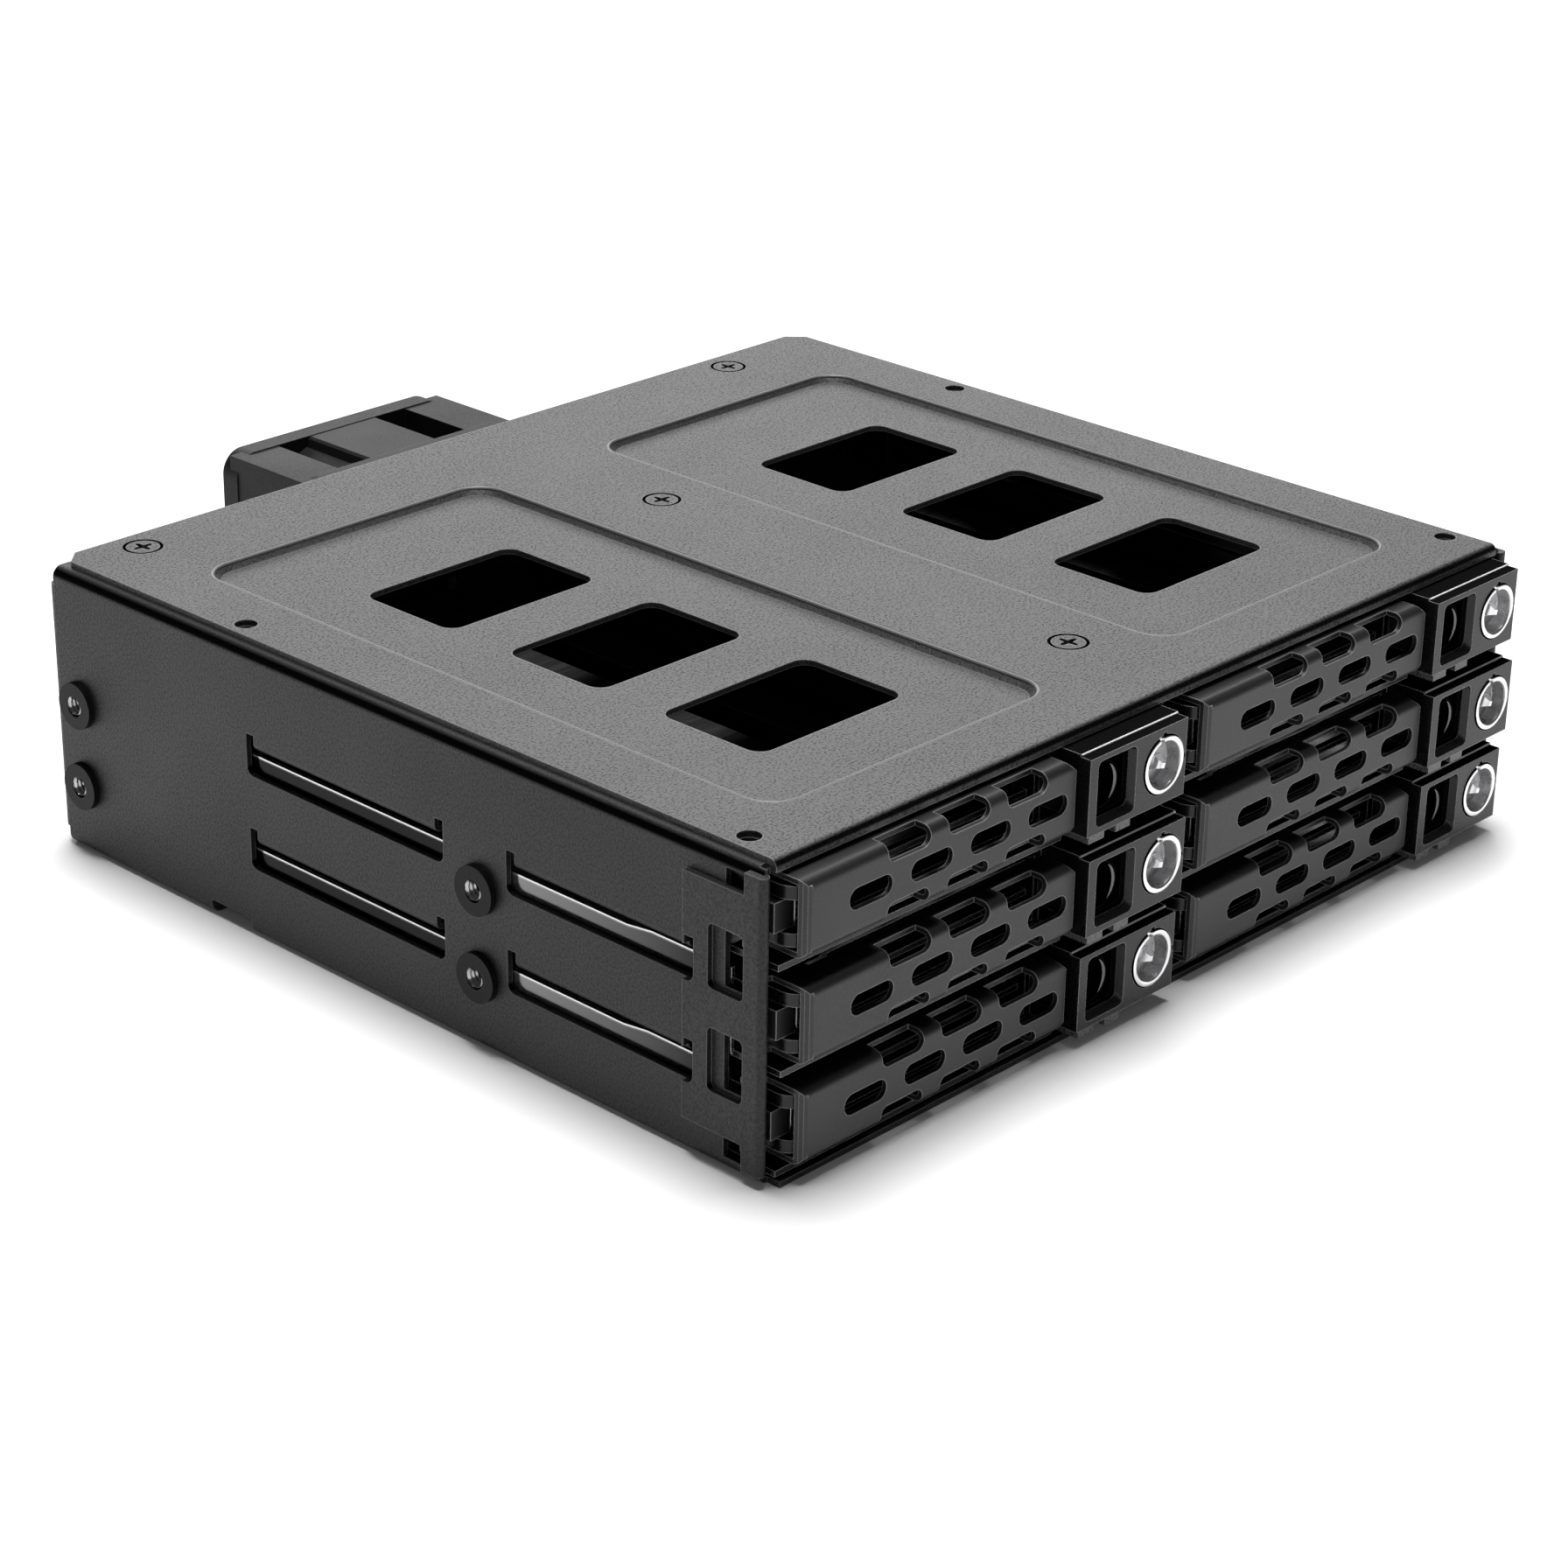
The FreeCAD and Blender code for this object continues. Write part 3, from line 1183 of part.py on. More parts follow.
def tray_lever(piece):
    """Ventilated lever: a channel with staggered slots, two hooks, a foot and a catch."""
    face, sheet_width = s.lever_face, s.lever_sheet
    low, high = s.lever_centre - s.lever_height / 2, s.lever_centre + s.lever_height / 2
    rear = face + s.lever_depth
    inner_bend = s.lever_bend - sheet_width
    inner_face = face + sheet_width
    piece.add("YZ", s.lever_left, s.lever_right,
              outline((face, low, s.lever_bend), (rear, low), (rear, low + sheet_width),
                      (inner_face, low + sheet_width, inner_bend),
                      (inner_face, high - sheet_width, inner_bend), (rear, high - sheet_width),
                      (rear, high), (face, high, s.lever_bend)))
    # Hooks reach back from both flanges, past the pin
    hook_front = s.hook_back - s.hook_width
    for bottom in (low, high - sheet_width):
        piece.add("XY", bottom, bottom + sheet_width,
                  outline((s.lever_left, inner_face + sheet_width), (s.foot_right, inner_face + sheet_width),
                          (s.foot_right, s.foot_back), (s.pin_across, s.hook_back - sheet_width),
                          (s.hook_tip, s.hook_back), (s.hook_tip, hook_front),
                          (s.lever_left, hook_front - sheet_width)))
    # Foot at mid height, which turns about the pin
    foot_low, foot_high = s.lever_centre - s.foot_half, s.lever_centre + s.foot_half
    piece.add("XY", foot_low, foot_high,
              outline((s.foot_neck, inner_face - sheet_width / 2),
                      (s.foot_right, inner_face - sheet_width / 2),
                      (s.foot_right, s.foot_back), (s.foot_left, s.foot_back),
                      (s.foot_left, s.foot_front), (s.foot_neck, s.foot_front)))
    # Catch at the free end
    piece.add("XZ", inner_face - sheet_width / 2, inner_face + s.catch_reach,
              rectangle(s.lever_right - sheet_width, s.lever_right,
                        s.lever_centre - s.catch_half, s.lever_centre + s.catch_half))
    piece.cut("XY", foot_low - sheet_width / 2, foot_high + sheet_width / 2,
              circle(s.pin_across, s.pin_back, s.pin_radius + s.pin_gap))
    # The face turns back at its left end, in three short folds.
    turn, left = s.lever_end_turn, s.lever_left
    folds = [(left + turn * (1 - math.cos(math.radians(angle))),
              face + turn * (1 - math.sin(math.radians(angle)))) for angle in (0, 30, 60, 90)]
    piece.cut("XY", low - s.wall, high + s.wall,
              outline(*folds, (left + turn, face - s.wall), (left - s.wall, face - s.wall),
                      (left - s.wall, face + turn)))
    piece.add("XY", low + sheet_width, high - sheet_width,
              outline(*folds, (left + turn, inner_face), (left + sheet_width, face + turn)))
    # Staggered slots: four in the face, three across each bend
    piece.cut("XZ", face - s.wall, inner_face + sheet_width / 2, *[
        obround(s.lever_slot_first + s.lever_slot_pitch * i, s.lever_centre, s.lever_slot_width,
                s.lever_slot_height) for i in range(4)])
    slot_half = s.lever_slot_width / 2
    cut_end = face + s.edge_slot_reach
    for i in range(3):
        middle = s.edge_slot_first + s.lever_slot_pitch * i
        x0, x1 = middle - slot_half, middle + slot_half
        top_start, bottom_end = high - s.edge_slot_drop, low + s.edge_slot_drop
        radius = s.edge_slot_round
        piece.cut("XZ", face - s.wall, cut_end,
                  outline((x0, high + s.wall), (x0, top_start, radius), (x1, top_start, radius),
                          (x1, high + s.wall)),
                  outline((x0, low - s.wall), (x1, low - s.wall), (x1, bottom_end, radius),
                          (x0, bottom_end, radius)))
    corner = s.lever_corner
    for edge, up in ((low, 1), (high, -1)):
        piece.cut("XZ", face - s.wall, rear + s.wall,
                  outline((s.lever_right + s.wall, edge - s.wall * up),
                          (s.lever_right + s.wall, edge + (corner + s.wall) * up),
                          (s.lever_right - corner - s.wall, edge - s.wall * up)))
    return piece


def tray_pin(piece):
    """Hinge pin of the lever."""
    reach = s.grille_neck_half - s.pin_end_gap
    piece.add("XY", s.lever_centre - reach, s.lever_centre + reach,
              circle(s.pin_across, s.pin_back, s.pin_radius))
    return piece


def tray_button(piece):
    """Release button with a scooped face and the latch nose at its side."""
    low, high = s.lever_centre - s.block_height / 2, s.lever_centre + s.block_height / 2
    x0 = s.block_left + s.window_left + s.button_gap
    x1 = s.block_left + s.window_right - s.bevel_right - s.button_gap
    z0 = low + s.window_low + s.bevel_low + s.button_gap
    z1 = high - s.window_high - s.button_gap
    face = s.front_face + s.button_recess
    piece.add("XZ", face, s.button_back,
              rectangle(x0, x1, z0, z1, s.window_corner - s.button_gap))
    piece.add("YZ", s.nose_tip, x0 + s.wall,
              rectangle(s.nose_front, s.nose_front + s.nose_width,
                        s.lever_centre - s.nose_half, s.lever_centre + s.nose_half))
    scoop = piece.feature("SubtractiveSphere")
    bind(scoop, "Radius", s.scoop_radius)
    place = (s.block_left + s.scoop_across, face - s.scoop_stand, s.lever_centre)
    for axis, size in zip("xyz", place):
        bind(scoop, "AttachmentOffset.Base." + axis, size)
    scoop.AttachmentSupport = [(piece.origin("XY_Plane"), "")]
    scoop.MapMode = "FlatFace"
    return piece


def tray_lock(piece):
    """Key lock barrel: bright ring, recessed bowl and a three-sided centre post."""
    radius = s.lock_bore - s.lock_gap
    rim = radius - s.lock_ring
    front_edge = -s.lock_stand
    piece.turn(outline((0, s.lock_bowl_depth), (s.lock_bowl_floor, s.lock_bowl_depth),
                       (rim, front_edge), (radius, front_edge), (radius, s.lock_length),
                       (0, s.lock_length)))
    reach = s.lock_post
    piece.add("XZ", s.lock_bowl_depth - s.lock_post_rise, s.lock_bowl_depth + s.lock_stand,
              outline((-reach * 0.87, -reach * 0.5), (reach * 0.87, -reach * 0.5), (0, reach)))
    return piece


def tray_lights(piece):
    """Two light pipes under the lock block, for drive power and activity."""
    high = s.lever_centre - s.block_height / 2
    piece.add("XZ", s.front_face + s.light_recess, s.light_back,
              *[rectangle(x, x + width, high - s.light_height, high)
                for x, width in light_spans()])
    return piece


base_shell()
side_bushes()
top_cover()
cover_screws()
centre_divider()
rear_panel()
pan_screws("panel_screws", PANEL_SCREWS, s.cage_depth, -1, s.panel_screw_length)
backplane_board()
board_posts()
pan_screws("board_screws", POSTS, s.board_front, 1, s.board_screw_length)
drive_connectors()
ports("data_ports", DATA_PORTS, s.data_port_width, s.data_port_height)
ports("power_inlets", POWER_PORTS, s.power_port_width, s.power_port_height)
fan_frame()
fan_rotor()
fan_screws()
in_every_tray("pan", tray_pan)
in_every_tray("front", tray_front)
in_every_tray("lever", tray_lever)
in_every_tray("pin", tray_pin)
in_every_tray("button", tray_button)
in_every_tray("lock", tray_lock, (s.lock_across, s.front_face, s.lever_centre))
in_every_tray("lights", tray_lights)

document.recompute()
for thing in document.Objects:
    if "Invalid" in thing.State or "Error" in thing.State:
        raise RuntimeError(thing.Label + " failed")
os.makedirs("parts", exist_ok=True)
for thing in nodes:
    shape = Part.getShape(thing)
    if shape.isNull() or not shape.isValid():
        raise RuntimeError(thing.Label + " has no valid shape")
    shape.exportStep(os.path.join("parts", thing.Label + ".step"))
print(len(nodes), "sub-parts written")
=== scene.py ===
"""Looks of the hot swap drive cage: finishes, fasteners' fine forms, studio and camera.

Everything is in metres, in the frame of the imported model: +Z up, +X to the right seen from
the front, +Y towards the rear, origin at the middle of the cage floor's underside.
"""
from __future__ import annotations

import json
import logging
import math
from dataclasses import dataclass, field
from enum import Enum

import bpy
import numpy as np
from mathutils import Matrix, Vector

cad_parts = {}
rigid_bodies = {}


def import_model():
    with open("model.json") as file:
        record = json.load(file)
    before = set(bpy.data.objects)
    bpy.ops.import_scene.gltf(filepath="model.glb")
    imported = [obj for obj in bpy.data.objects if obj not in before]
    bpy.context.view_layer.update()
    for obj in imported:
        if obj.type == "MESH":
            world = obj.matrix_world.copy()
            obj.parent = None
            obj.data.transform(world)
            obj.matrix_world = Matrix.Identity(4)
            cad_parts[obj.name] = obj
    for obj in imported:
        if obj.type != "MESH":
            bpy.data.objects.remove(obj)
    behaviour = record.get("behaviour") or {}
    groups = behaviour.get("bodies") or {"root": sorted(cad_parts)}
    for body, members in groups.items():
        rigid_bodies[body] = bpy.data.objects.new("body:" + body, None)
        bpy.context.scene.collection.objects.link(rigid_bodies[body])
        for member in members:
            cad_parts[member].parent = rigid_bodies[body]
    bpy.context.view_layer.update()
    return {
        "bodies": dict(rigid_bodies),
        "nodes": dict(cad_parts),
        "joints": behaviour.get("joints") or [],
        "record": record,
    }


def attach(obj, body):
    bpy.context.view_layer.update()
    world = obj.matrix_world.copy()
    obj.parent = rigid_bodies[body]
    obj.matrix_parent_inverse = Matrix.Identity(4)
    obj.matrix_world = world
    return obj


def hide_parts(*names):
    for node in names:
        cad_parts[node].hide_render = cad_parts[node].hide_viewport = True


LOG = logging.getLogger("drive_cage")
MM = 0.001
Triple = tuple[float, float, float]
Colour = Triple
Pair = tuple[float, float]
Pairs = tuple[Pair, ...]
Socket = bpy.types.NodeSocket
Source = Socket | float | Colour
BLACK: Colour = (0.0, 0.0, 0.0)
WHITE: Colour = (1.0, 1.0, 1.0)
SHARP_ANGLE = math.radians(35)

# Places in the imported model: the cage's front, the cover's top, the fan's axis, the columns'
# middles, the rows' floors, how far the middle row stands forward, and how high the middle of
# a lever lies above its row's floor.
FRONT = -66.5 * MM
COVER_TOP = 41.3 * MM
FAN_ACROSS = -7.8 * MM
FAN_HEIGHT = 20.4 * MM
COLUMNS = {"left": -36.4 * MM, "right": 36.4 * MM}
ROWS = {"1": 27.55 * MM, "2": 14.25 * MM, "3": 0.95 * MM}
MIDDLE_FORWARD = 0.6 * MM
LEVER_CENTRE = 6.65 * MM


class Slot(Enum):
    """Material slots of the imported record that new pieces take."""

    BLACK_SCREW = "black_screw"
    PLAIN_STEEL = "plain_steel"
    LOCK_CHROME = "lock_chrome"
    BLACK_PLASTIC = "black_plastic"
    BLOCK_PLASTIC = "block_plastic"
    BLACK_COAT = "black_coat"


class Along(Enum):
    """Which way a turned piece's outer end faces."""

    UP = (0.0, 0.0, 1.0)
    FRONT = (0.0, -1.0, 0.0)
    REAR = (0.0, 1.0, 0.0)
    LEFT = (-1.0, 0.0, 0.0)
    RIGHT = (1.0, 0.0, 0.0)


@dataclass(frozen=True)
class TrayPlace:
    """One tray's body, and where it stands at rest."""

    name: str
    middle: float
    front: float
    floor: float


def tray_places() -> list[TrayPlace]:
    """Lists the six trays, the middle row's two a little forward.

    Returns:
        Each tray's body name, the middle of its column, its front plane and its floor.
    """
    places = []
    for column, middle in COLUMNS.items():
        for row, floor in ROWS.items():
            forward = MIDDLE_FORWARD if row == "2" else 0.0
            places.append(TrayPlace(f"tray_{column}_{row}", middle, FRONT - forward, floor))
    return places


class Nodes:
    """A small builder for one material's node tree.

    The edge factor is full where the dot product of its two normals is at the edge limit or
    less, and a face is flat from FLAT_FACE on.
    """

    EDGE_LIMIT = 0.92
    FLAT_FACE = 0.995
    EDGE_SAMPLES = 6
    SOFT_SAMPLES = 4

    def __init__(self, name: str) -> None:
        """Starts a material with one Principled shader.

        Args:
            name: the material's name.
        """
        self.material = bpy.data.materials.new(name)
        self.material.use_nodes = True
        self.tree = self.material.node_tree
        self.shader = self.tree.nodes["Principled BSDF"]
        self.place = self.add("ShaderNodeTexCoord").outputs["Object"]

    def add(self, kind: str, **settings: object) -> bpy.types.Node:
        """Adds a node and sets its properties.

        Args:
            kind: the node's type name.
            settings: properties to set on it.

        Returns:
            The new node.
        """
        node = self.tree.nodes.new(kind)
        for key, value in settings.items():
            setattr(node, key, value)
        return node

    def link(self, source: Socket, target: Socket) -> None:
        """Joins two sockets."""
        self.tree.links.new(source, target)

    def feed(self, value: Source, target: Socket) -> None:
        """Links a socket to the target, or gives the target its own value.

        Args:
            value: a socket, a number or a linear colour.
            target: the socket that takes it.
        """
        if isinstance(value, Socket):
            self.link(value, target)
        elif isinstance(value, tuple):
            target.default_value = (*value, 1.0)
        else:
            target.default_value = value

    def fixed(self, **values: object) -> None:
        """Sets sockets of the shader by name, underscores standing for spaces."""
        for key, value in values.items():
            self.shader.inputs[key.replace("_", " ")].default_value = value

    def driven(self, **sources: Socket) -> None:
        """Links sockets to the shader's by name, underscores standing for spaces."""
        for key, source in sources.items():
            self.link(source, self.shader.inputs[key.replace("_", " ")])

    def stretched(self, scale: Triple) -> Socket:
        """Object coordinates with a scale of their own for each axis.

        Args:
            scale: factors along X, Y and Z.

        Returns:
            The scaled coordinates' socket.
        """
        mapping = self.add("ShaderNodeMapping")
        mapping.inputs["Scale"].default_value = scale
        self.link(self.place, mapping.inputs["Vector"])
        return mapping.outputs["Vector"]

    def noise(self, scale: float, detail: float = 2.0, rough: float = 0.5,
              at: Socket | None = None) -> Socket:
        """A noise value over the surface.

        Args:
            scale: features per metre.
            detail: octaves.
            rough: share of the finer octaves.
            at: coordinates, the object's own where none are given.

        Returns:
            The noise factor's socket.
        """
        node = self.add("ShaderNodeTexNoise")
        node.inputs["Scale"].default_value = scale
        node.inputs["Detail"].default_value = detail
        node.inputs["Roughness"].default_value = rough
        self.link(at or self.place, node.inputs["Vector"])
        return node.outputs["Fac"]

    def ranged(self, value: Socket, low: float, high: float,
               start: float = 0.3, stop: float = 0.7) -> Socket:
        """Maps a factor between start and stop onto a range.

        Args:
            value: the factor.
            low: result at start.
            high: result at stop.
            start: factor that gives low.
            stop: factor that gives high.

        Returns:
            The mapped value's socket.
        """
        node = self.add("ShaderNodeMapRange")
        for key, number in (("From Min", start), ("From Max", stop), ("To Min", low),
                            ("To Max", high)):
            node.inputs[key].default_value = number
        self.link(value, node.inputs["Value"])
        return node.outputs["Result"]

    def mixed(self, factor: Source, first: Source, second: Source, kind: str = "RGBA",
              blend: str = "MIX") -> Socket:
        """Mixes two colours or values by a factor.

        Args:
            factor: 0 for the first, 1 for the second laid on it.
            first: a socket, a number or a linear colour.
            second: a socket, a number or a linear colour.
            kind: RGBA for colours, FLOAT for values.
            blend: how the second colour is laid on the first.

        Returns:
            The result's socket.
        """
        node = self.add("ShaderNodeMix", data_type=kind, blend_type=blend)
        for key, value in (("Factor", factor), ("A", first), ("B", second)):
            self.feed(value, node.inputs[key])
        return node.outputs["Result"]

    def edges(self, radius: float) -> Socket:
        """A factor that is 1 on edges and 0 on flat faces.

        It compares the surface's own normal with the one of edges rounded by the radius.

        Args:
            radius: width of the edge in metres.

        Returns:
            The factor's socket.
        """
        soft = self.add("ShaderNodeBevel", samples=self.EDGE_SAMPLES)
        soft.inputs["Radius"].default_value = radius
        plain = self.add("ShaderNodeNewGeometry")
        same = self.add("ShaderNodeVectorMath", operation="DOT_PRODUCT")
        self.link(soft.outputs["Normal"], same.inputs[0])
        self.link(plain.outputs["Normal"], same.inputs[1])
        return self.ranged(same.outputs["Value"], 1.0, 0.0, self.EDGE_LIMIT, self.FLAT_FACE)

    def parts(self, vector: Socket) -> bpy.types.bpy_prop_collection:
        """Takes a vector apart.

        Args:
            vector: the vector's socket.

        Returns:
            The sockets of its parts, by the names X, Y and Z.
        """
        node = self.add("ShaderNodeSeparateXYZ")
        self.link(vector, node.inputs["Vector"])
        return node.outputs

    def level(self) -> Socket:
        """The upward part of the surface's own normal, 1 on level faces."""
        return self.parts(self.add("ShaderNodeNewGeometry").outputs["Normal"])["Z"]

    def maths(self, operation: str, *values: Socket | float) -> Socket:
        """One sum on sockets and numbers.

        Args:
            operation: the node's operation.
            values: its values in order, sockets or numbers.

        Returns:
            The result's socket.
        """
        node = self.add("ShaderNodeMath", operation=operation)
        for place, value in enumerate(values):
            self.feed(value, node.inputs[place])
        return node.outputs[0]

    def relief(self, height: Socket, depth: float, strength: float = 1.0,
               edge: float = 0.0) -> None:
        """Gives the shader a bumped normal, with its edges softened on request.

        Args:
            height: the relief's height factor.
            depth: metres from 0 to 1 of that factor.
            strength: share of the relief that shows.
            edge: radius of the softened edges in metres.
        """
        bump = self.add("ShaderNodeBump")
        bump.inputs["Strength"].default_value = strength
        bump.inputs["Distance"].default_value = depth
        self.link(height, bump.inputs["Height"])
        if edge:
            soft = self.add("ShaderNodeBevel", samples=self.SOFT_SAMPLES)
            soft.inputs["Radius"].default_value = edge
            self.link(soft.outputs["Normal"], bump.inputs["Normal"])
        self.link(bump.outputs["Normal"], self.shader.inputs["Normal"])


@dataclass(frozen=True)
class Coat:
    """A sprayed or moulded surface with a fine grain.

    Tones are linear. Grain and blotch count features per metre, and depth and edge are in
    metres. Drift is how far the blotches move the roughness. The light tone added on edges is
    a painted highlight. A face between level and upright is a bend, which keeps only a share
    of its gloss and tone: the tone that it loses is painted shade. top_gloss is the share of
    gloss that a level face keeps. The two pairs of limits say where each begins.
    """

    name: str
    dark: float
    light: float
    rough_low: float
    rough_high: float
    grain: float
    depth: float
    edge: float
    specular: float = 0.5
    blotch: float = 60.0
    drift: float = 0.03
    edge_highlight: float = 0.0
    specks: Pair = (0.3, 0.7)
    top_gloss: float = 1.0
    top_limits: Pair = (0.93, 0.99)
    bend_unshaded_share: float = 1.0
    bend_limits: Pair = (0.4, 0.93)

    def material(self) -> bpy.types.Material:
        """Builds the coat: speckled colour with painted highlights on edges and painted shade on
        bends, uneven gloss and grain relief.

        Returns:
            The finished material.
        """
        make = Nodes(self.name)
        fine = make.noise(self.grain, detail=3.0, rough=0.6)
        wide = make.noise(self.blotch)
        colour = make.mixed(make.ranged(fine, 0.0, 1.0, *self.specks), (self.dark,) * 3,
                            (self.light,) * 3)
        # Painted highlight: a light tone added on the edges.
        if self.edge_highlight:
            bright_edge = make.mixed(make.edges(self.edge), BLACK, (self.edge_highlight,) * 3)
            colour = make.mixed(1.0, colour, bright_edge, blend="ADD")
        rough = make.ranged(fine, self.rough_high, self.rough_low, *self.specks)
        drift = make.ranged(wide, -self.drift, self.drift)
        make.fixed(Specular_IOR_Level=self.specular)
        # Painted shade: bends lose tone and gloss down to their share, and level faces lose gloss
        # by top_gloss.
        if self.top_gloss != 1.0 or self.bend_unshaded_share != 1.0:
            level = make.level()
            tilt = make.maths("ABSOLUTE", make.maths("MULTIPLY_ADD", level, 2.0, -1.0))
            bend_shade = make.ranged(tilt, self.bend_unshaded_share, 1.0, *self.bend_limits)
            tops = make.ranged(level, self.specular, self.specular * self.top_gloss,
                               *self.top_limits)
            make.driven(Specular_IOR_Level=make.maths("MULTIPLY", bend_shade, tops))
            shade = make.mixed(bend_shade, BLACK, WHITE)
            colour = make.mixed(1.0, colour, shade, blend="MULTIPLY")
        make.driven(Base_Color=colour, Roughness=make.maths("ADD", rough, drift))
        make.relief(fine, self.depth, edge=self.edge)
        return make.material


@dataclass(frozen=True)
class Metal:
    """Bare or plated metal with drawn lines and a little unevenness.

    Its lighter edges are twice as wide as its softened ones.
    """

    name: str
    tone: Colour
    shade: Colour
    rough_low: float
    rough_high: float
    lines: Triple
    depth: float
    edge: float
    bright_edge: float = 0.0
    metallic: float = 1.0
    cloud: float = 180.0

    def material(self) -> bpy.types.Material:
        """Builds the metal: toned colour, gloss by the drawn lines, faint relief.

        Returns:
            The finished material.
        """
        make = Nodes(self.name)
        drawn = make.noise(1.0, detail=3.0, rough=0.6, at=make.stretched(self.lines))
        cloud = make.noise(self.cloud, detail=3.0, rough=0.55)
        colour = make.mixed(make.ranged(cloud, 0.0, 1.0), self.shade, self.tone)
        if self.bright_edge:
            colour = make.mixed(make.edges(self.edge * 2), colour, (self.bright_edge,) * 3)
        rough = make.ranged(drawn, self.rough_low, self.rough_high)
        make.driven(Base_Color=colour, Roughness=rough)
        make.fixed(Metallic=self.metallic)
        make.relief(drawn, self.depth, edge=self.edge)
        return make.material


@dataclass(frozen=True)
class TraySheet:
    """The pans' coated sheet: grey floors, and walls with a painted reflection along the front
    side slots.

    Places and lengths are in metres: front and middle are about the two ends of those slots.
    The walls' outer faces lie past wall_place, and all that lies inside it keeps only
    inner_share of the walls' tone. The level limits say how level a face is where walls end
    and floors begin.
    """

    name: str
    floor_low: float = 0.1
    floor_high: float = 0.22
    wall_sheen_front: float = 0.012
    wall_sheen_middle: float = 0.19
    wall_sheen_rear: float = 0.006
    wall_place: float = 71.0 * MM
    wall_blend: float = 0.1 * MM
    inner_share: float = 0.04
    front: float = -56.0 * MM
    middle: float = -24.0 * MM
    fall_start: float = 1.0 * MM
    fall_stop: float = 11.5 * MM
    level_limits: Pair = (0.3, 0.8)
    bright_edge: float = 0.95
    highlight_width: float = 0.0006
    lines: Triple = (60.0, 1200.0, 1200.0)
    rough_low: float = 0.1
    rough_high: float = 0.2
    metallic: float = 0.88
    specular: float = 0.1
    depth: float = 0.000001
    edge: float = 0.0001

    def material(self) -> bpy.types.Material:
        """Builds the sheet.

        The walls' tone, a painted reflection, rises from the front place to the middle one and
        drops behind it. Floors take theirs from the drawn lines, and outer edges get a painted
        highlight.

        Returns:
            The finished material.
        """
        make = Nodes(self.name)
        drawn = make.noise(1.0, detail=3.0, rough=0.6, at=make.stretched(self.lines))
        place = make.parts(make.place)
        # Painted reflection: the walls' tone rises towards the slots' middle and falls behind it.
        rise = make.ranged(place["Y"], self.wall_sheen_front, self.wall_sheen_middle, self.front, self.middle)
        fall = make.ranged(place["Y"], 1.0, self.wall_sheen_rear / self.wall_sheen_middle,
                           self.middle + self.fall_start, self.middle + self.fall_stop)
        outer = make.ranged(make.maths("ABSOLUTE", place["X"]), self.inner_share, 1.0,
                            self.wall_place - self.wall_blend, self.wall_place)
        wall_sheen = make.maths("MULTIPLY", make.maths("MULTIPLY", rise, fall), outer)
        floors = make.ranged(drawn, self.floor_low, self.floor_high)
        flat = make.ranged(make.level(), 0.0, 1.0, *self.level_limits)
        # Painted highlight on the walls' outer edges.
        bright_edge = make.maths("MULTIPLY", make.edges(self.highlight_width), outer)
        tone = make.mixed(bright_edge, make.mixed(flat, wall_sheen, floors, kind="FLOAT"), self.bright_edge,
                          kind="FLOAT")
        make.driven(Base_Color=tone,
                    Roughness=make.ranged(drawn, self.rough_low, self.rough_high))
        make.fixed(Metallic=self.metallic, Specular_IOR_Level=self.specular)
        make.relief(drawn, self.depth, edge=self.edge)
        return make.material


@dataclass(frozen=True)
class Frosted:
    """Clear plastic with a frosted skin."""

    name: str
    tone: Colour
    shade: float = 0.82
    grain: float = 2600.0
    rough_low: float = 0.22
    rough_high: float = 0.4
    clear: float = 0.35
    index: float = 1.49
    depth: float = 0.00001

    def material(self) -> bpy.types.Material:
        """Builds the light pipe's finish.

        Returns:
            The finished material.
        """
        make = Nodes(self.name)
        fine = make.noise(self.grain)
        dark = tuple(part * self.shade for part in self.tone)
        make.driven(Base_Color=make.mixed(make.ranged(fine, 0.0, 1.0), dark, self.tone),
                    Roughness=make.ranged(fine, self.rough_low, self.rough_high))
        make.fixed(Transmission_Weight=self.clear, IOR=self.index)
        make.relief(fine, self.depth)
        return make.material


@dataclass(frozen=True)
class Board:
    """Circuit board: solder mask over fine parallel tracks."""

    name: str
    mask: Colour
    track: Colour
    tracks: float = 320.0
    waver: float = 2.0
    detail: float = 1.0
    band: Pair = (0.45, 0.55)
    grain: float = 900.0
    rough_low: float = 0.28
    rough_high: float = 0.4
    depth: float = 0.00003
    relief: float = 0.6

    def material(self) -> bpy.types.Material:
        """Builds the board: tracks as bands bent by noise, under a glossy mask.

        Returns:
            The finished material.
        """
        make = Nodes(self.name)
        wave = make.add("ShaderNodeTexWave", wave_type="BANDS", bands_direction="DIAGONAL")
        for key, value in (("Scale", self.tracks), ("Distortion", self.waver),
                           ("Detail", self.detail)):
            wave.inputs[key].default_value = value
        make.link(make.place, wave.inputs["Vector"])
        band = make.ranged(wave.outputs["Fac"], 0.0, 1.0, *self.band)
        rough = make.ranged(make.noise(self.grain), self.rough_low, self.rough_high)
        make.driven(Base_Color=make.mixed(band, self.mask, self.track), Roughness=rough)
        make.relief(band, self.depth, self.relief)
        return make.material


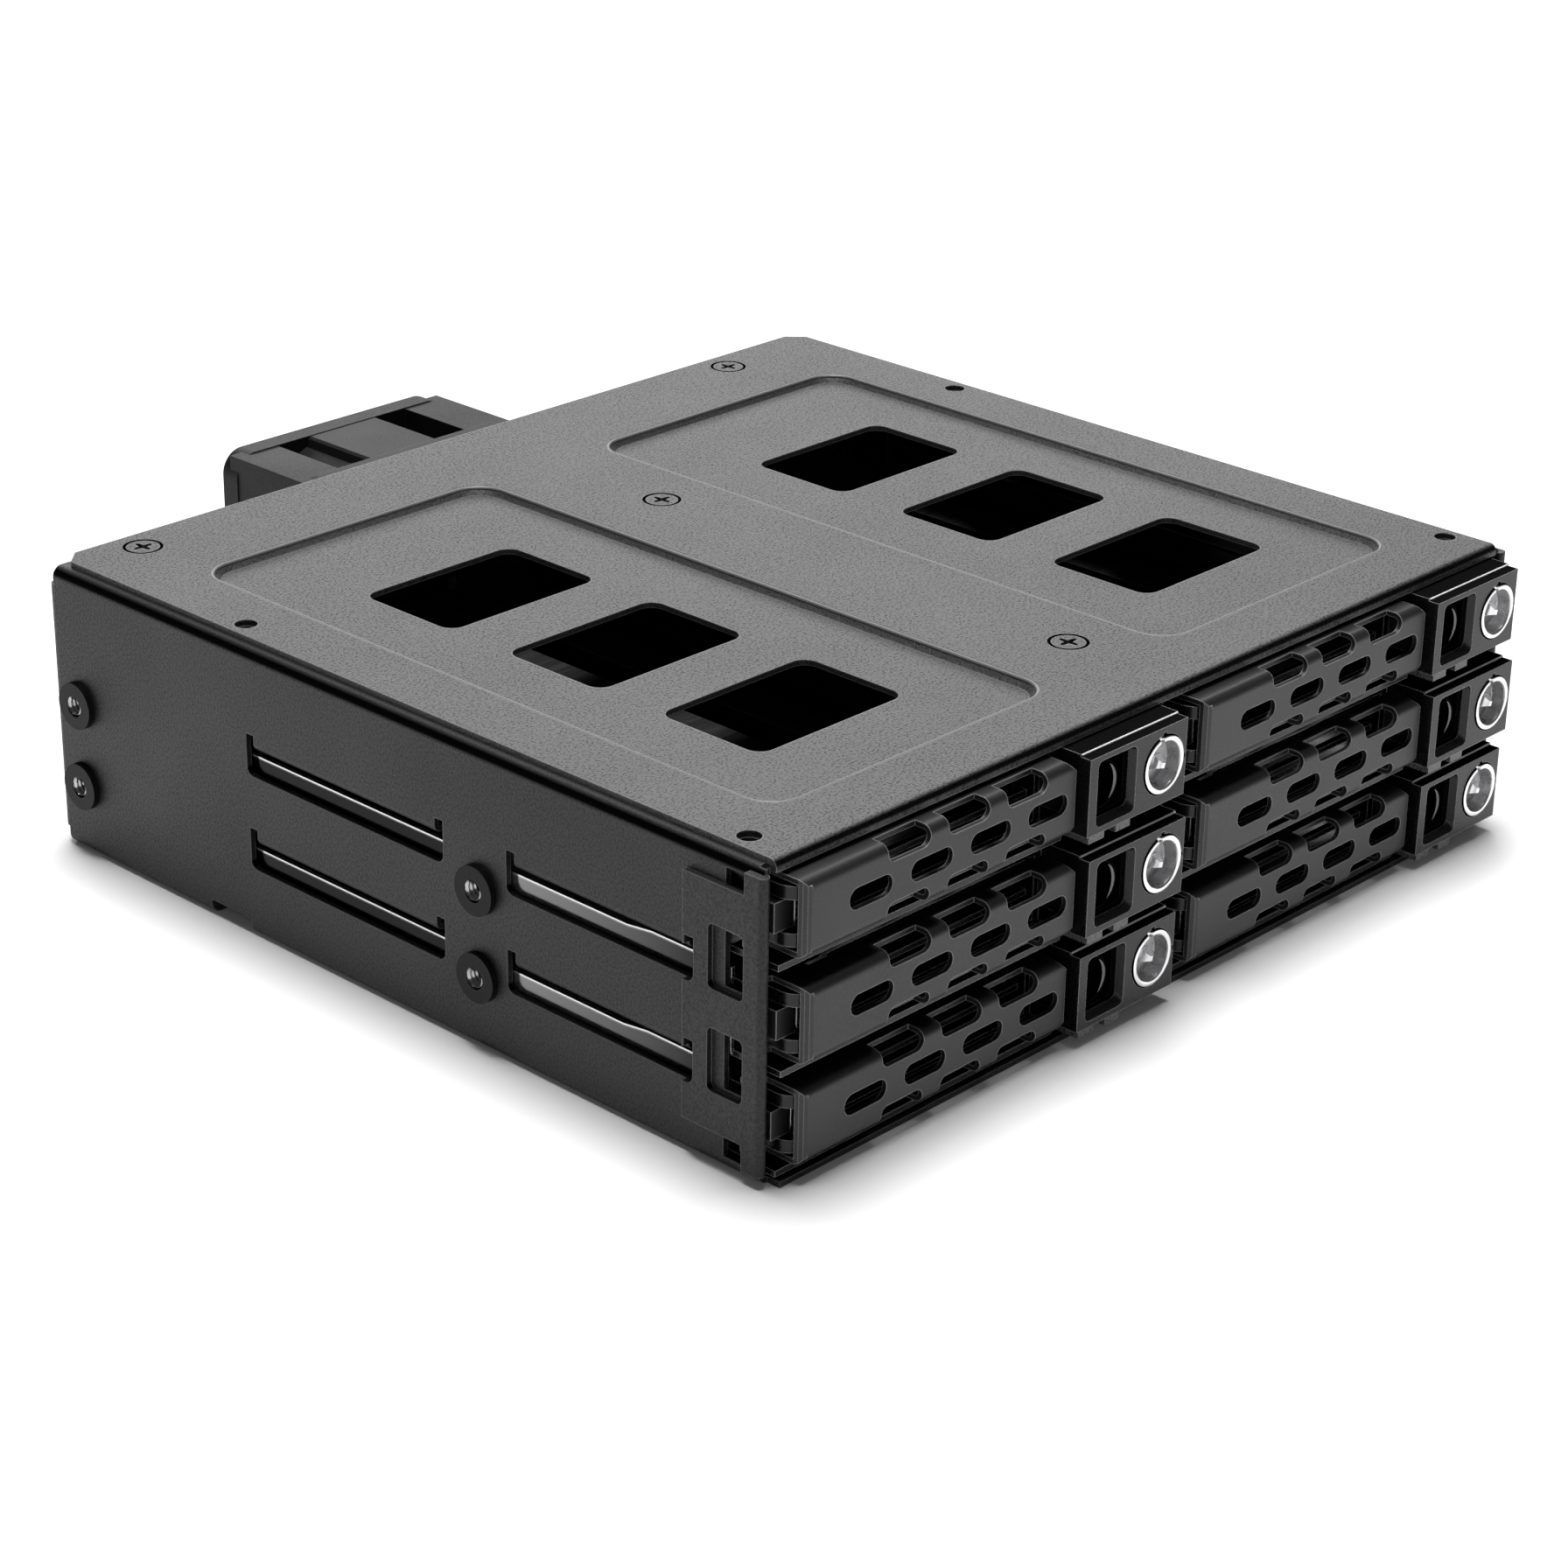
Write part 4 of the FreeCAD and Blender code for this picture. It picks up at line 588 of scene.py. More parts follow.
@dataclass
class Finishes:
    """Every finish of the cage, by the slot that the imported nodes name.

    The table own gives the nodes whose finish is not their slot's.
    """

    kinds: dict[str, Coat | Metal | TraySheet | Frosted | Board] = field(default_factory=lambda: {
        # The edge tones below are painted highlights, and bends that keep little of their tone
        # take painted shade.
        "black_coat": Coat("powder_coat", 0.002, 0.014, 0.4, 0.6, 3000.0, 0.00006, 0.00022,
                           specular=0.36, edge_highlight=0.12, specks=(0.32, 0.6), bend_unshaded_share=0.05),
        "cover_coat": Coat("cover_powder_coat", 0.002, 0.045, 0.36, 0.68, 3000.0, 0.00013,
                           0.0003, specular=0.46, edge_highlight=0.2, specks=(0.34, 0.52),
                           bend_unshaded_share=0.05),
        # Painted highlight: the panels' shoulders are lighter than the cover.
        "shoulder_highlight": Coat("shoulder_powder_coat", 0.09, 0.13, 0.3, 0.4, 3600.0, 0.00003,
                               0.00005),
        "lever_coat": Coat("lever_paint", 0.006, 0.014, 0.38, 0.48, 4200.0, 0.000016, 0.0002,
                           specular=0.5, edge_highlight=0.3),
        "block_plastic": Coat("satin_moulding", 0.003, 0.006, 0.24, 0.32, 5200.0, 0.000003,
                              0.00018, specular=0.34, edge_highlight=0.3, top_gloss=0.0),
        # Painted highlight: a near white bead along each block's step.
        "step_highlight": Coat("polished_step", 0.75, 0.8, 0.2, 0.3, 5200.0, 0.000002, 0.00005),
        "black_plastic": Coat("matt_moulding", 0.004, 0.01, 0.44, 0.56, 3600.0, 0.00001,
                              0.0002, specular=0.2, edge_highlight=0.04),
        "black_screw": Coat("black_oxide", 0.003, 0.006, 0.34, 0.44, 4200.0, 0.000005, 0.00008,
                            specular=0.12, edge_highlight=0.06),
        "plain_steel": Metal("plated_steel", (0.62, 0.62, 0.63), (0.5, 0.5, 0.51), 0.16, 0.3,
                             (2200.0, 260.0, 2200.0), 0.000003, 0.00008),
        "bare_steel": TraySheet("zinc_coated_sheet"),
        "lock_chrome": Metal("lock_chrome", (0.86, 0.86, 0.87), (0.74, 0.74, 0.75), 0.05, 0.14,
                             (900.0, 900.0, 900.0), 0.000002, 0.0001),
        "lock_bowl": Metal("lock_bowl", (0.56, 0.56, 0.57), (0.3, 0.3, 0.305), 0.24, 0.34,
                           (900.0, 900.0, 900.0), 0.000006, 0.00006, bright_edge=0.9, metallic=0.65),
        "lock_post": Metal("lock_post", (0.86, 0.86, 0.87), (0.7, 0.7, 0.71), 0.1, 0.2,
                           (900.0, 900.0, 900.0), 0.000002, 0.00004, metallic=0.8),
        "bush_threads": Metal("bush_threads", (0.5, 0.5, 0.505), (0.34, 0.34, 0.345), 0.16,
                              0.26, (900.0, 900.0, 900.0), 0.000002, 0.00004),
        # Painted shade: a near black finish without gloss for the buttons in their recesses, the
        # lock barrels' sides and the rings round the cover's screws.
        "painted_shade_black": Coat("button_moulding", 0.0005, 0.001, 0.3, 0.4, 5200.0, 0.000004,
                            0.00016, specular=0.0, edge_highlight=0.03),
        # Painted highlight: the light tone of the buttons' crescent lips.
        "button_lip": Coat("button_lip", 0.13, 0.18, 0.2, 0.3, 5200.0, 0.000002, 0.00005),
        "light_pipe": Frosted("light_pipe", (0.12, 0.125, 0.13)),
        "board": Board("circuit_board", (0.008, 0.045, 0.022), (0.014, 0.07, 0.034)),
    })
    own: dict[str, str] = field(default_factory=lambda: {"side_bushes": "black_screw",
                                                         "top_cover": "cover_coat"})
    made: dict[str, bpy.types.Material] = field(default_factory=dict)

    def get(self, slot: str) -> bpy.types.Material:
        """The material of a slot, built when it is first asked for.

        Args:
            slot: a key of the table kinds.

        Returns:
            The finished material.
        """
        if slot not in self.made:
            self.made[slot] = self.kinds[slot].material()
        return self.made[slot]

    def dress(self, frame: dict) -> None:
        """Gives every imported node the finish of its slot.
        """
        for part in frame["record"]["subparts"]:
            thing = frame["nodes"][part["node"]]
            slot = self.own.get(part["node"], part["material_slot"])
            # Buttons take the near black finish of painted shade.
            if part["node"].endswith("_button"):
                slot = "painted_shade_black"
            thing.data.materials.clear()
            thing.data.materials.append(self.get(slot))
        LOG.info("dressed %d nodes", len(frame["nodes"]))


def surface(name: str, points: np.ndarray, material: bpy.types.Material,
            wrap: bool = True) -> bpy.types.Object:
    """Makes one mesh object from grids of points.

    Args:
        name: the object's name.
        points: array (grids, rows, columns, 3) in metres.
        material: the finish of all its faces.
        wrap: True where the last column joins the first.

    Returns:
        The new object, at the origin.
    """
    grids, rows, columns = points.shape[:3]
    index = np.arange(grids * rows * columns).reshape(grids, rows, columns)
    right = np.roll(index, -1, axis=2)
    if not wrap:
        index = index[:, :, :-1]
        right = right[:, :, :-1]
    quads = np.stack([index[:, :-1], right[:, :-1], right[:, 1:], index[:, 1:]], axis=-1)
    mesh = bpy.data.meshes.new(name)
    mesh.from_pydata(points.reshape(-1, 3), [], quads.reshape(-1, 4).tolist())
    mesh.polygons.foreach_set("use_smooth", np.ones(len(mesh.polygons), bool))
    mesh.materials.append(material)
    mesh.update()
    thing = bpy.data.objects.new(name, mesh)
    bpy.context.scene.collection.objects.link(thing)
    mesh.set_sharp_from_angle(angle=SHARP_ANGLE)
    return thing


def turned_to(points: np.ndarray, along: Along, places: np.ndarray) -> np.ndarray:
    """Turns pieces built along +Z to face another way and sets them in their places.

    Args:
        points: array (rows, columns, 3) of one piece built along +Z.
        along: the way its outer end faces.
        places: array (count, 3) of the places.

    Returns:
        Array (count, rows, columns, 3).
    """
    turn = np.array(Vector((0, 0, 1)).rotation_difference(Vector(along.value)).to_matrix())
    return (points @ turn.T)[None] + places[:, None, None, :]


def round_angles(count: int) -> np.ndarray:
    """The angles of one full turn in equal steps, without its end."""
    return np.linspace(0, 2 * math.pi, count, endpoint=False)


def turned(radius: np.ndarray, height: np.ndarray, angle: np.ndarray) -> np.ndarray:
    """Turns a profile about +Z: radius times the angle's cosine and sine, and the height.

    Args:
        radius: array (rows, 1) or (rows, columns).
        height: array (rows, 1) or (rows, columns).
        angle: array (columns).

    Returns:
        Array (rows, columns, 3).
    """
    return np.stack(np.broadcast_arrays(radius * np.cos(angle), radius * np.sin(angle), height),
                    axis=-1)


@dataclass(frozen=True)
class CrossScrew:
    """A screw with a cross recess: a profile carried round an axis, its top sunk by the cross.

    Lengths are in metres. With the share of the arm's length, an arm's half width is arm_half
    times arm_root less arm_taper times the share, and its depth is recess_depth times
    floor_root less floor_fall times the share, and never more than recess_depth.
    """

    head: float
    head_height: float
    shank: float
    length: float
    dome: float
    flush: bool = False
    rim: float = 0.12 * MM
    flush_rim: float = 0.06 * MM
    recess_depth: float = 1.1 * MM
    arm_length: float = 1.45 * MM
    arm_half: float = 0.33 * MM
    arm_root: float = 1.25
    arm_taper: float = 0.5
    floor_root: float = 1.1
    floor_fall: float = 0.8
    slope_parts: float = 12.0
    columns: int = 96
    rings: int = 34
    crowding: float = 0.9

    def recess(self, x: np.ndarray, y: np.ndarray) -> np.ndarray:
        """Depth of the cross recess.

        The depth falls linearly from the middle to the arms' ends, and drops to nothing at
        the arms' sides and ends within a twelfth of the arm's length.

        Args:
            x: positions across the head.
            y: positions along the head.

        Returns:
            Depth at each position, in metres.
        """
        reach = np.maximum(np.abs(x), np.abs(y))
        across = np.minimum(np.abs(x), np.abs(y))
        slope = self.arm_length / self.slope_parts
        taper = self.arm_half * (self.arm_root - self.arm_taper * reach / self.arm_length)
        wall = np.clip((taper - across) / slope, 0, 1)
        end = np.clip((self.arm_length - reach) / slope, 0, 1)
        fall = np.clip(self.floor_root - self.floor_fall * reach / self.arm_length, 0, 1)
        return self.recess_depth * wall * end * fall

    def points(self) -> np.ndarray:
        """The screw along +Z with its head's seat or top at zero height.

        Rings of the head's top stand at equal steps to the power of the crowding, on a
        shallow dome: the dome's height times one minus the squared share of the radius. Then
        the profile goes down the head and the shank.

        Returns:
            Array (rows, columns, 3).
        """
        share = np.linspace(0.0, 1.0, self.rings) ** self.crowding
        dome = self.dome * (1 - share ** 2)
        if self.flush:
            heights = dome
            steps = [(self.head, -self.flush_rim),
                     (self.head - self.head_height, -self.head_height),
                     (self.shank, -self.head_height)]
        else:
            heights = self.head_height + dome - self.dome
            steps = [(self.head, self.head_height - self.dome - self.rim), (self.head, 0.0),
                     (self.shank, 0.0)]
        steps += [(self.shank, -self.length), (0.0, -self.length)]
        radii = np.concatenate([share * (self.head - self.rim), [step[0] for step in steps]])
        heights = np.concatenate([heights, [step[1] for step in steps]])
        grid = turned(radii[:, None], heights[:, None], round_angles(self.columns))
        dip = self.recess(grid[..., 0], grid[..., 1])
        dip[len(share):] = 0.0
        grid[..., 2] -= dip
        return grid

    def build(self, name: str, node: str, body: str, slot: Slot, along: Along,
              places: np.ndarray, finishes: Finishes, finish: str = "") -> None:
        """Makes the screws and lets them stand for their plain node.

        Args:
            name: the new piece's name.
            node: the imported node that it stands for.
            body: the body that it rides on.
            slot: its material slot.
            along: the way the heads face.
            places: array (count, 3) of the heads' seats.
            finishes: where its finish comes from.
            finish: name of a finish other than the slot's own.
        """
        piece = surface(name, turned_to(self.points(), along, places),
                        finishes.get(finish or slot.value))
        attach(piece, body)
        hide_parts(node)
        LOG.info("%s: %d screws", name, len(places))


@dataclass
class Fasteners:
    """All screws of the cage, dark rings of painted shade in the gaps round the cover's, and the
    threads in its side bushes.

    The tables of places and the gaps' sizes are in millimetres, and lengths along the cage
    count from its front plane.
    """

    cover_screw: CrossScrew = CrossScrew(head=2.34 * MM, head_height=0.6 * MM, shank=1.25 * MM,
                                         length=1.9 * MM, dome=0.0, flush=True)
    panel_screw: CrossScrew = CrossScrew(head=2.3 * MM, head_height=1.4 * MM, shank=1.25 * MM,
                                         length=4.0 * MM, dome=0.45 * MM)
    board_screw: CrossScrew = CrossScrew(head=2.3 * MM, head_height=1.4 * MM, shank=1.25 * MM,
                                         length=8.0 * MM, dome=0.45 * MM)
    fan_screw: CrossScrew = CrossScrew(head=2.9 * MM, head_height=1.9 * MM, shank=1.6 * MM,
                                       length=22.0 * MM, dome=0.6 * MM, arm_length=1.8 * MM,
                                       arm_half=0.42 * MM)
    cover_places: Pairs = ((2.0, 18.8), (2.0, 92.2), (-61.0, 127.5), (51.5, 127.5))
    panel_places: Pairs = ((-68.6, 10.0), (-68.6, 31.0), (68.6, 10.0), (68.6, 31.0))
    panel_back: float = 133.0 * MM
    board_places: Pairs = ((-64.0, 7.0), (-64.0, 34.0), (64.0, 7.0), (64.0, 34.0))
    board_back: float = 119.5 * MM
    fan_back: float = 152.2 * MM
    fan_reach: float = 16 * MM
    gap_inner: float = 2.3
    gap_width: float = 0.4
    gap_drop: float = 0.02
    gap_depth: float = 0.1
    gap_rows: int = 7
    gap_columns: int = 96
    bush_places: Pairs = ((48.1, 10.0), (48.1, 21.84), (127.35, 10.0), (127.35, 21.84))
    bush_face: float = 74.0 * MM
    bush_depth: float = 1.8 * MM
    bore: float = 1.49 * MM
    crest: float = 1.14 * MM
    pitch: float = 0.6 * MM
    thread_rows: int = 46
    thread_columns: int = 48

    def build(self, finishes: Finishes) -> None:
        """Makes the four kinds of screws, the gaps and the threads.

        Args:
            finishes: where the finishes come from.
        """
        cover = np.array([(x * MM, FRONT + y * MM, COVER_TOP) for x, y in self.cover_places])
        self.cover_screw.build("cover_screw_heads", "cover_screws", "cage", Slot.BLACK_SCREW,
                               Along.UP, cover, finishes, "cover_coat")
        self.gaps(cover, finishes)
        panel = np.array([(x * MM, FRONT + self.panel_back, z * MM) for x, z in self.panel_places])
        self.panel_screw.build("panel_screw_heads", "panel_screws", "cage", Slot.PLAIN_STEEL,
                               Along.REAR, panel, finishes)
        board = np.array([(x * MM, FRONT + self.board_back, z * MM) for x, z in self.board_places])
        self.board_screw.build("board_screw_heads", "board_screws", "cage", Slot.PLAIN_STEEL,
                               Along.FRONT, board, finishes)
        fan = np.array([(FAN_ACROSS + i * self.fan_reach, FRONT + self.fan_back,
                         FAN_HEIGHT + k * self.fan_reach) for i in (-1, 1) for k in (-1, 1)])
        self.fan_screw.build("fan_screw_heads", "fan_screws", "cage", Slot.PLAIN_STEEL,
                             Along.REAR, fan, finishes)
        self.threads(finishes)

    def gaps(self, places: np.ndarray, finishes: Finishes) -> None:
        """Fills the countersinks round the cover's screws with a dark ring of painted shade.

        The ring's radius grows from under the head to the sheet's edge, and its height
        falls and rises again as half a sine wave between them.

        Args:
            places: array (count, 3) of the heads' tops.
            finishes: where the finish comes from.
        """
        share = np.linspace(0.0, 1.0, self.gap_rows)[:, None]
        radius = (self.gap_inner + self.gap_width * share) * MM
        height = (-self.gap_drop - self.gap_depth * np.sin(share * math.pi)) * MM
        ring = turned(radius, height, round_angles(self.gap_columns))
        piece = surface("cover_screw_gaps", turned_to(ring, Along.UP, places),
                        finishes.get("painted_shade_black"))
        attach(piece, "cage")

    def threads(self, finishes: Finishes) -> None:
        """Threads the side bushes.

        Radius is the bore less the thread's height times a triangle wave of the depth over
        the pitch less the share of a turn, so that the ridge climbs one pitch in each turn.

        Args:
            finishes: where the finish comes from.
        """
        angle = round_angles(self.thread_columns)
        depth = np.linspace(0.0, self.bush_depth, self.thread_rows)[:, None]
        phase = depth / self.pitch - angle / (2 * math.pi)
        ridge = 1 - np.abs(2 * (phase - np.floor(phase)) - 1)
        ring = turned(self.bore - (self.bore - self.crest) * ridge, -depth, angle)
        grids = []
        for along, side in ((Along.LEFT, -1), (Along.RIGHT, 1)):
            places = np.array([(side * self.bush_face, FRONT + y * MM, z * MM)
                               for y, z in self.bush_places])
            grids.append(turned_to(ring, along, places))
        piece = surface("bush_threads", np.concatenate(grids), finishes.get("bush_threads"))
        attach(piece, "cage")
        LOG.info("bush_threads: 8 bushes")


@dataclass
class KeyLock:
    """The barrel of a key lock: a bright ring, a deep bowl and a faceted centre post.

    The barrel's profile has side_rows points before the ring and crown_rows over it; counted
    from one, the ring is bright from bright_from to bright_to. Each step of the bowl's foot is
    a pair, out from the floor's edge and up. The post is turned by post_turn degrees, and each
    of its rows is a share of the reach, a share of the rise and a lean in millimetres.
    """

    across: float = 29.6 * MM
    face: float = -4.0 * MM
    radius: float = 3.9 * MM
    stand: float = 0.25 * MM
    ring: float = 0.86 * MM
    crown: float = 0.7
    rear_edge: float = 0.1 * MM
    bowl_floor: float = 2.75 * MM
    bowl_depth: float = 1.8 * MM
    bowl_foot: Pairs = ((0.12 * MM, 0.25 * MM), (0.0, 0.04 * MM), (-0.15 * MM, 0.0))
    length: float = 10.9 * MM
    notch_angle: float = math.radians(101.0)
    notch_half: float = math.radians(5.0)
    notch_slope: float = 0.3
    notch_depth: float = 0.5 * MM
    post_turn: float = 28.0
    post_reach: float = 1.45 * MM
    post_rise: float = 1.5 * MM
    post_rows: tuple[Triple, ...] = ((1.0, 0.0, 0.0), (0.92, 0.35, 0.05), (0.34, 1.0, 0.35),
                                     (0.0, 1.0, 0.35))
    side_rows: int = 3
    crown_rows: int = 9
    bright_from: int = 3
    bright_to: int = 7
    columns: int = 144

    def barrel(self) -> np.ndarray:
        """Rings of the barrel along +Z, its face at zero height.

        The profile runs from the rear end's middle up the side, over the rounded ring, down
        the bowl's wall and in to the middle of its floor. The ring's height drops by the
        notch's depth at the notch's angle, and comes back over the last part of its half
        width, which is notch_slope of it.

        Returns:
            Array (rows, columns, 3).
        """
        angle = round_angles(self.columns)
        over = np.linspace(0, math.pi, self.crown_rows)
        middle = (self.radius + (self.radius - self.ring)) / 2
        half = self.ring / 2
        bulge = half * self.crown
        deep = -self.bowl_depth
        radii = [0.0, self.radius - self.rear_edge, self.radius]
        radii += list(middle + half * np.cos(over))
        radii += [self.bowl_floor + out for out, _ in self.bowl_foot] + [0.0]
        heights = [-self.length, -self.length, -self.length + self.rear_edge]
        heights += list(self.stand - bulge + bulge * np.sin(over))
        heights += [deep + up for _, up in self.bowl_foot] + [deep]
        grid = turned(np.array(radii)[:, None], np.array(heights)[:, None], angle)
        away = np.abs((angle - self.notch_angle + math.pi) % (2 * math.pi) - math.pi)
        notch = np.clip((self.notch_half - away) / (self.notch_half * self.notch_slope), 0, 1)
        grid[self.side_rows:self.side_rows + self.crown_rows, :, 2] -= self.notch_depth * notch
        return grid

    def post(self) -> np.ndarray:
        """The centre post: a four-sided point that leans from its square foot.

        Returns:
            Array (rows, 4, 3) along +Z.
        """
        angle = np.radians(self.post_turn + 90.0 * np.arange(4))
        share, rise, lean = np.array(self.post_rows).T[:, :, None]
        reach = share * self.post_reach
        height = rise * self.post_rise - self.bowl_depth
        return np.stack(np.broadcast_arrays(reach * np.cos(angle) + lean * MM,
                                            reach * np.sin(angle) - lean * MM, height), axis=-1)

    def build(self, finishes: Finishes) -> None:
        """Makes the six locks in place of their plain nodes.

        Args:
            finishes: where the finishes come from.
        """
        outline = self.side_rows + self.bright_from
        split = self.side_rows + self.bright_to
        barrel = self.barrel()
        # The barrel's side, a dark outline round the ring, takes the near black finish of painted
        # shade.
        parts = ((barrel[:outline], "side", "painted_shade_black"),
                 (barrel[outline - 1:split], "ring", "lock_chrome"),
                 (barrel[split - 1:], "bowl", "lock_bowl"),
                 (self.post(), "post", "lock_post"))
        for tray in tray_places():
            place = np.array([[tray.middle + self.across, tray.front + self.face,
                               tray.floor + LEVER_CENTRE]])
            name = f"{tray.name}_lock"
            for points, kind, finish in parts:
                piece = surface(f"{name}_{kind}", turned_to(points, Along.FRONT, place),
                                finishes.get(finish))
                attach(piece, name)
                if kind == "ring":
                    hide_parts(name)
        LOG.info("key locks: 6")


@dataclass
class ButtonLip:
    """The raised crescent at the scooped edge of each release button, its light tone a painted
    highlight.
    """

    middle: float = 22.05 * MM
    face: float = -2.4 * MM
    radius: float = 3.0 * MM
    half_turn: float = math.radians(51.0)
    half_width: float = 0.29 * MM
    rise: float = 0.12 * MM
    taper: float = 0.8
    rows: int = 9
    columns: int = 64

    def points(self) -> np.ndarray:
        """One crescent in the XZ plane, its face towards the front.

        Along an arc of the radius, the half width is the middle's one times the cosine of
        the share of the arc to the power of the taper. Across it the height is a half
        circle's, times the rise and the same cosine.

        Returns:
            Array (rows, columns, 3).
        """
        share = np.linspace(-1.0, 1.0, self.columns)
        turn = share * self.half_turn
        ends = np.cos(share * math.pi / 2)
        across = np.linspace(-1.0, 1.0, self.rows)[:, None]
        reach = self.radius + across * (self.half_width * ends ** self.taper)
        height = -self.rise * np.sqrt(np.clip(1 - across ** 2, 0, 1)) * ends
        return np.stack([reach * np.cos(turn) - self.radius, height, reach * np.sin(turn)],
                        axis=-1)

    def build(self, finishes: Finishes) -> None:
        """Makes the six lips, each riding on its button.

        Args:
            finishes: where the finish comes from.
        """
        grid = self.points()
        for tray in tray_places():
            place = np.array([tray.middle + self.middle, tray.front + self.face,
                              tray.floor + LEVER_CENTRE])
            button = f"{tray.name}_button"
            piece = surface(f"{button}_lip", (grid + place)[None],
                            finishes.get("button_lip"), wrap=False)
            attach(piece, button)
        LOG.info("button lips: 6")


def rounded_path(low: Pair, high: Pair, radius: float,
                 steps: int = 14) -> tuple[np.ndarray, np.ndarray]:
    """Points and outward directions along a rectangle with round corners.

    Args:
        low: its lowest corner.
        high: its highest corner.
        radius: corner radius.
        steps: points round each corner.

    Returns:
        Two arrays (points, 2): the places and the outward directions.
    """
    middles = np.array([(high[0] - radius, high[1] - radius), (low[0] + radius, high[1] - radius),
                        (low[0] + radius, low[1] + radius), (high[0] - radius, low[1] + radius)])
    turns = np.linspace(0, math.pi / 2, steps)[None, :] + np.arange(4)[:, None] * math.pi / 2
    out = np.stack([np.cos(turns), np.sin(turns)], axis=-1)
    points = middles[:, None, :] + radius * out
    return points.reshape(-1, 2), out.reshape(-1, 2)


@dataclass
class PanelShoulders:
    """The rounded upper shoulders of the cover's two sunk panels, lighter than the cover as a
    painted highlight.
    """

    inner: float = 10.8 * MM
    outer: float = 61.8 * MM
    start: float = 10.0 * MM
    stop: float = 115.5 * MM
    corner: float = 5.0 * MM
    bead: float = 0.35 * MM
    inset: float = 0.8
    columns: int = 12

    def build(self, finishes: Finishes) -> None:
        """Makes both shoulders: a round bead carried along the panel's outline.

        The bead's middle lies one radius under the cover's top and the inset's share of a
        radius inside the outline, so that it only rounds the edge.

        Args:
            finishes: where the finish comes from.
        """
        turn = round_angles(self.columns)
        grids = []
        for side in (-1, 1):
            near, far = sorted((side * self.inner, side * self.outer))
            points, out = rounded_path((near, FRONT + self.start), (far, FRONT + self.stop),
                                       self.corner)
            points = np.vstack([points, points[:1]])
            out = np.vstack([out, out[:1]])
            reach = (self.bead * (np.cos(turn) - self.inset))[None, :, None] * out[:, None, :]
            height = np.repeat((COVER_TOP - self.bead + self.bead * np.sin(turn))[None, :],
                               len(points), axis=0)
            grids.append(np.concatenate([points[:, None, :] + reach, height[..., None]], axis=-1))
        piece = surface("panel_shoulders", np.stack(grids), finishes.get("shoulder_highlight"))
        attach(piece, "cage")
        LOG.info("panel shoulders: 2")


@dataclass
class BlockStep:
    """A painted highlight along the step on top of each lock block: a light bead on its edge."""

    left: float = 15.3 * MM
    right: float = 33.9 * MM
    back: float = -2.4 * MM
    top: float = 11.95 * MM
    bead: float = 0.13 * MM
    columns: int = 12

    def build(self, finishes: Finishes) -> None:
        """Makes the six highlights: a round bead from the block's left to its right.

        Args:
            finishes: where the finish comes from.
        """
        turn = round_angles(self.columns)
        for tray in tray_places():
            ends = np.array([tray.middle + self.left, tray.middle + self.right])[:, None]
            y = tray.front + self.back + self.bead * np.cos(turn)
            height = tray.floor + self.top - self.bead + self.bead * np.sin(turn)
            grid = np.stack(np.broadcast_arrays(ends, y[None, :], height[None, :]), axis=-1)
            piece = surface(f"{tray.name}_step_edge", grid[None], finishes.get("step_highlight"))
            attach(piece, tray.name)
        LOG.info("block step edges: 6")


@dataclass
class FanPads:
    """Flat pads where the fan's round shroud meets the four sides of its frame.

    The section's points are in millimetres from the fan's axis.
    """

    start: float = 134.0 * MM
    stop: float = 150.4 * MM
    rows: int = 6
    section: Pairs = ((-6.9, 18.2), (-6.5, 19.6), (-6.1, 19.9),
                      (6.1, 19.9), (6.5, 19.6), (6.9, 18.2))

    def build(self, finishes: Finishes) -> None:
        """Makes the four pads: one outline, drawn along the fan's axis and turned by quarters.

        Args:
            finishes: where the finish comes from.
        """
        outline = np.array(self.section) * MM
        grids = []
        for quarter in range(4):
            turn = math.radians(90.0 * quarter)
            x = outline[:, 0] * math.cos(turn) - outline[:, 1] * math.sin(turn)
            z = outline[:, 0] * math.sin(turn) + outline[:, 1] * math.cos(turn)
            rows = [np.stack([x + FAN_ACROSS, np.full_like(x, FRONT + y), z + FAN_HEIGHT],
                             axis=-1) for y in np.linspace(self.start, self.stop, self.rows)]
            grids.append(np.stack(rows))
        piece = surface("fan_side_pads", np.stack(grids), finishes.get("black_plastic"),
                        wrap=False)
        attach(piece, "cage")
        LOG.info("fan pads: 4")


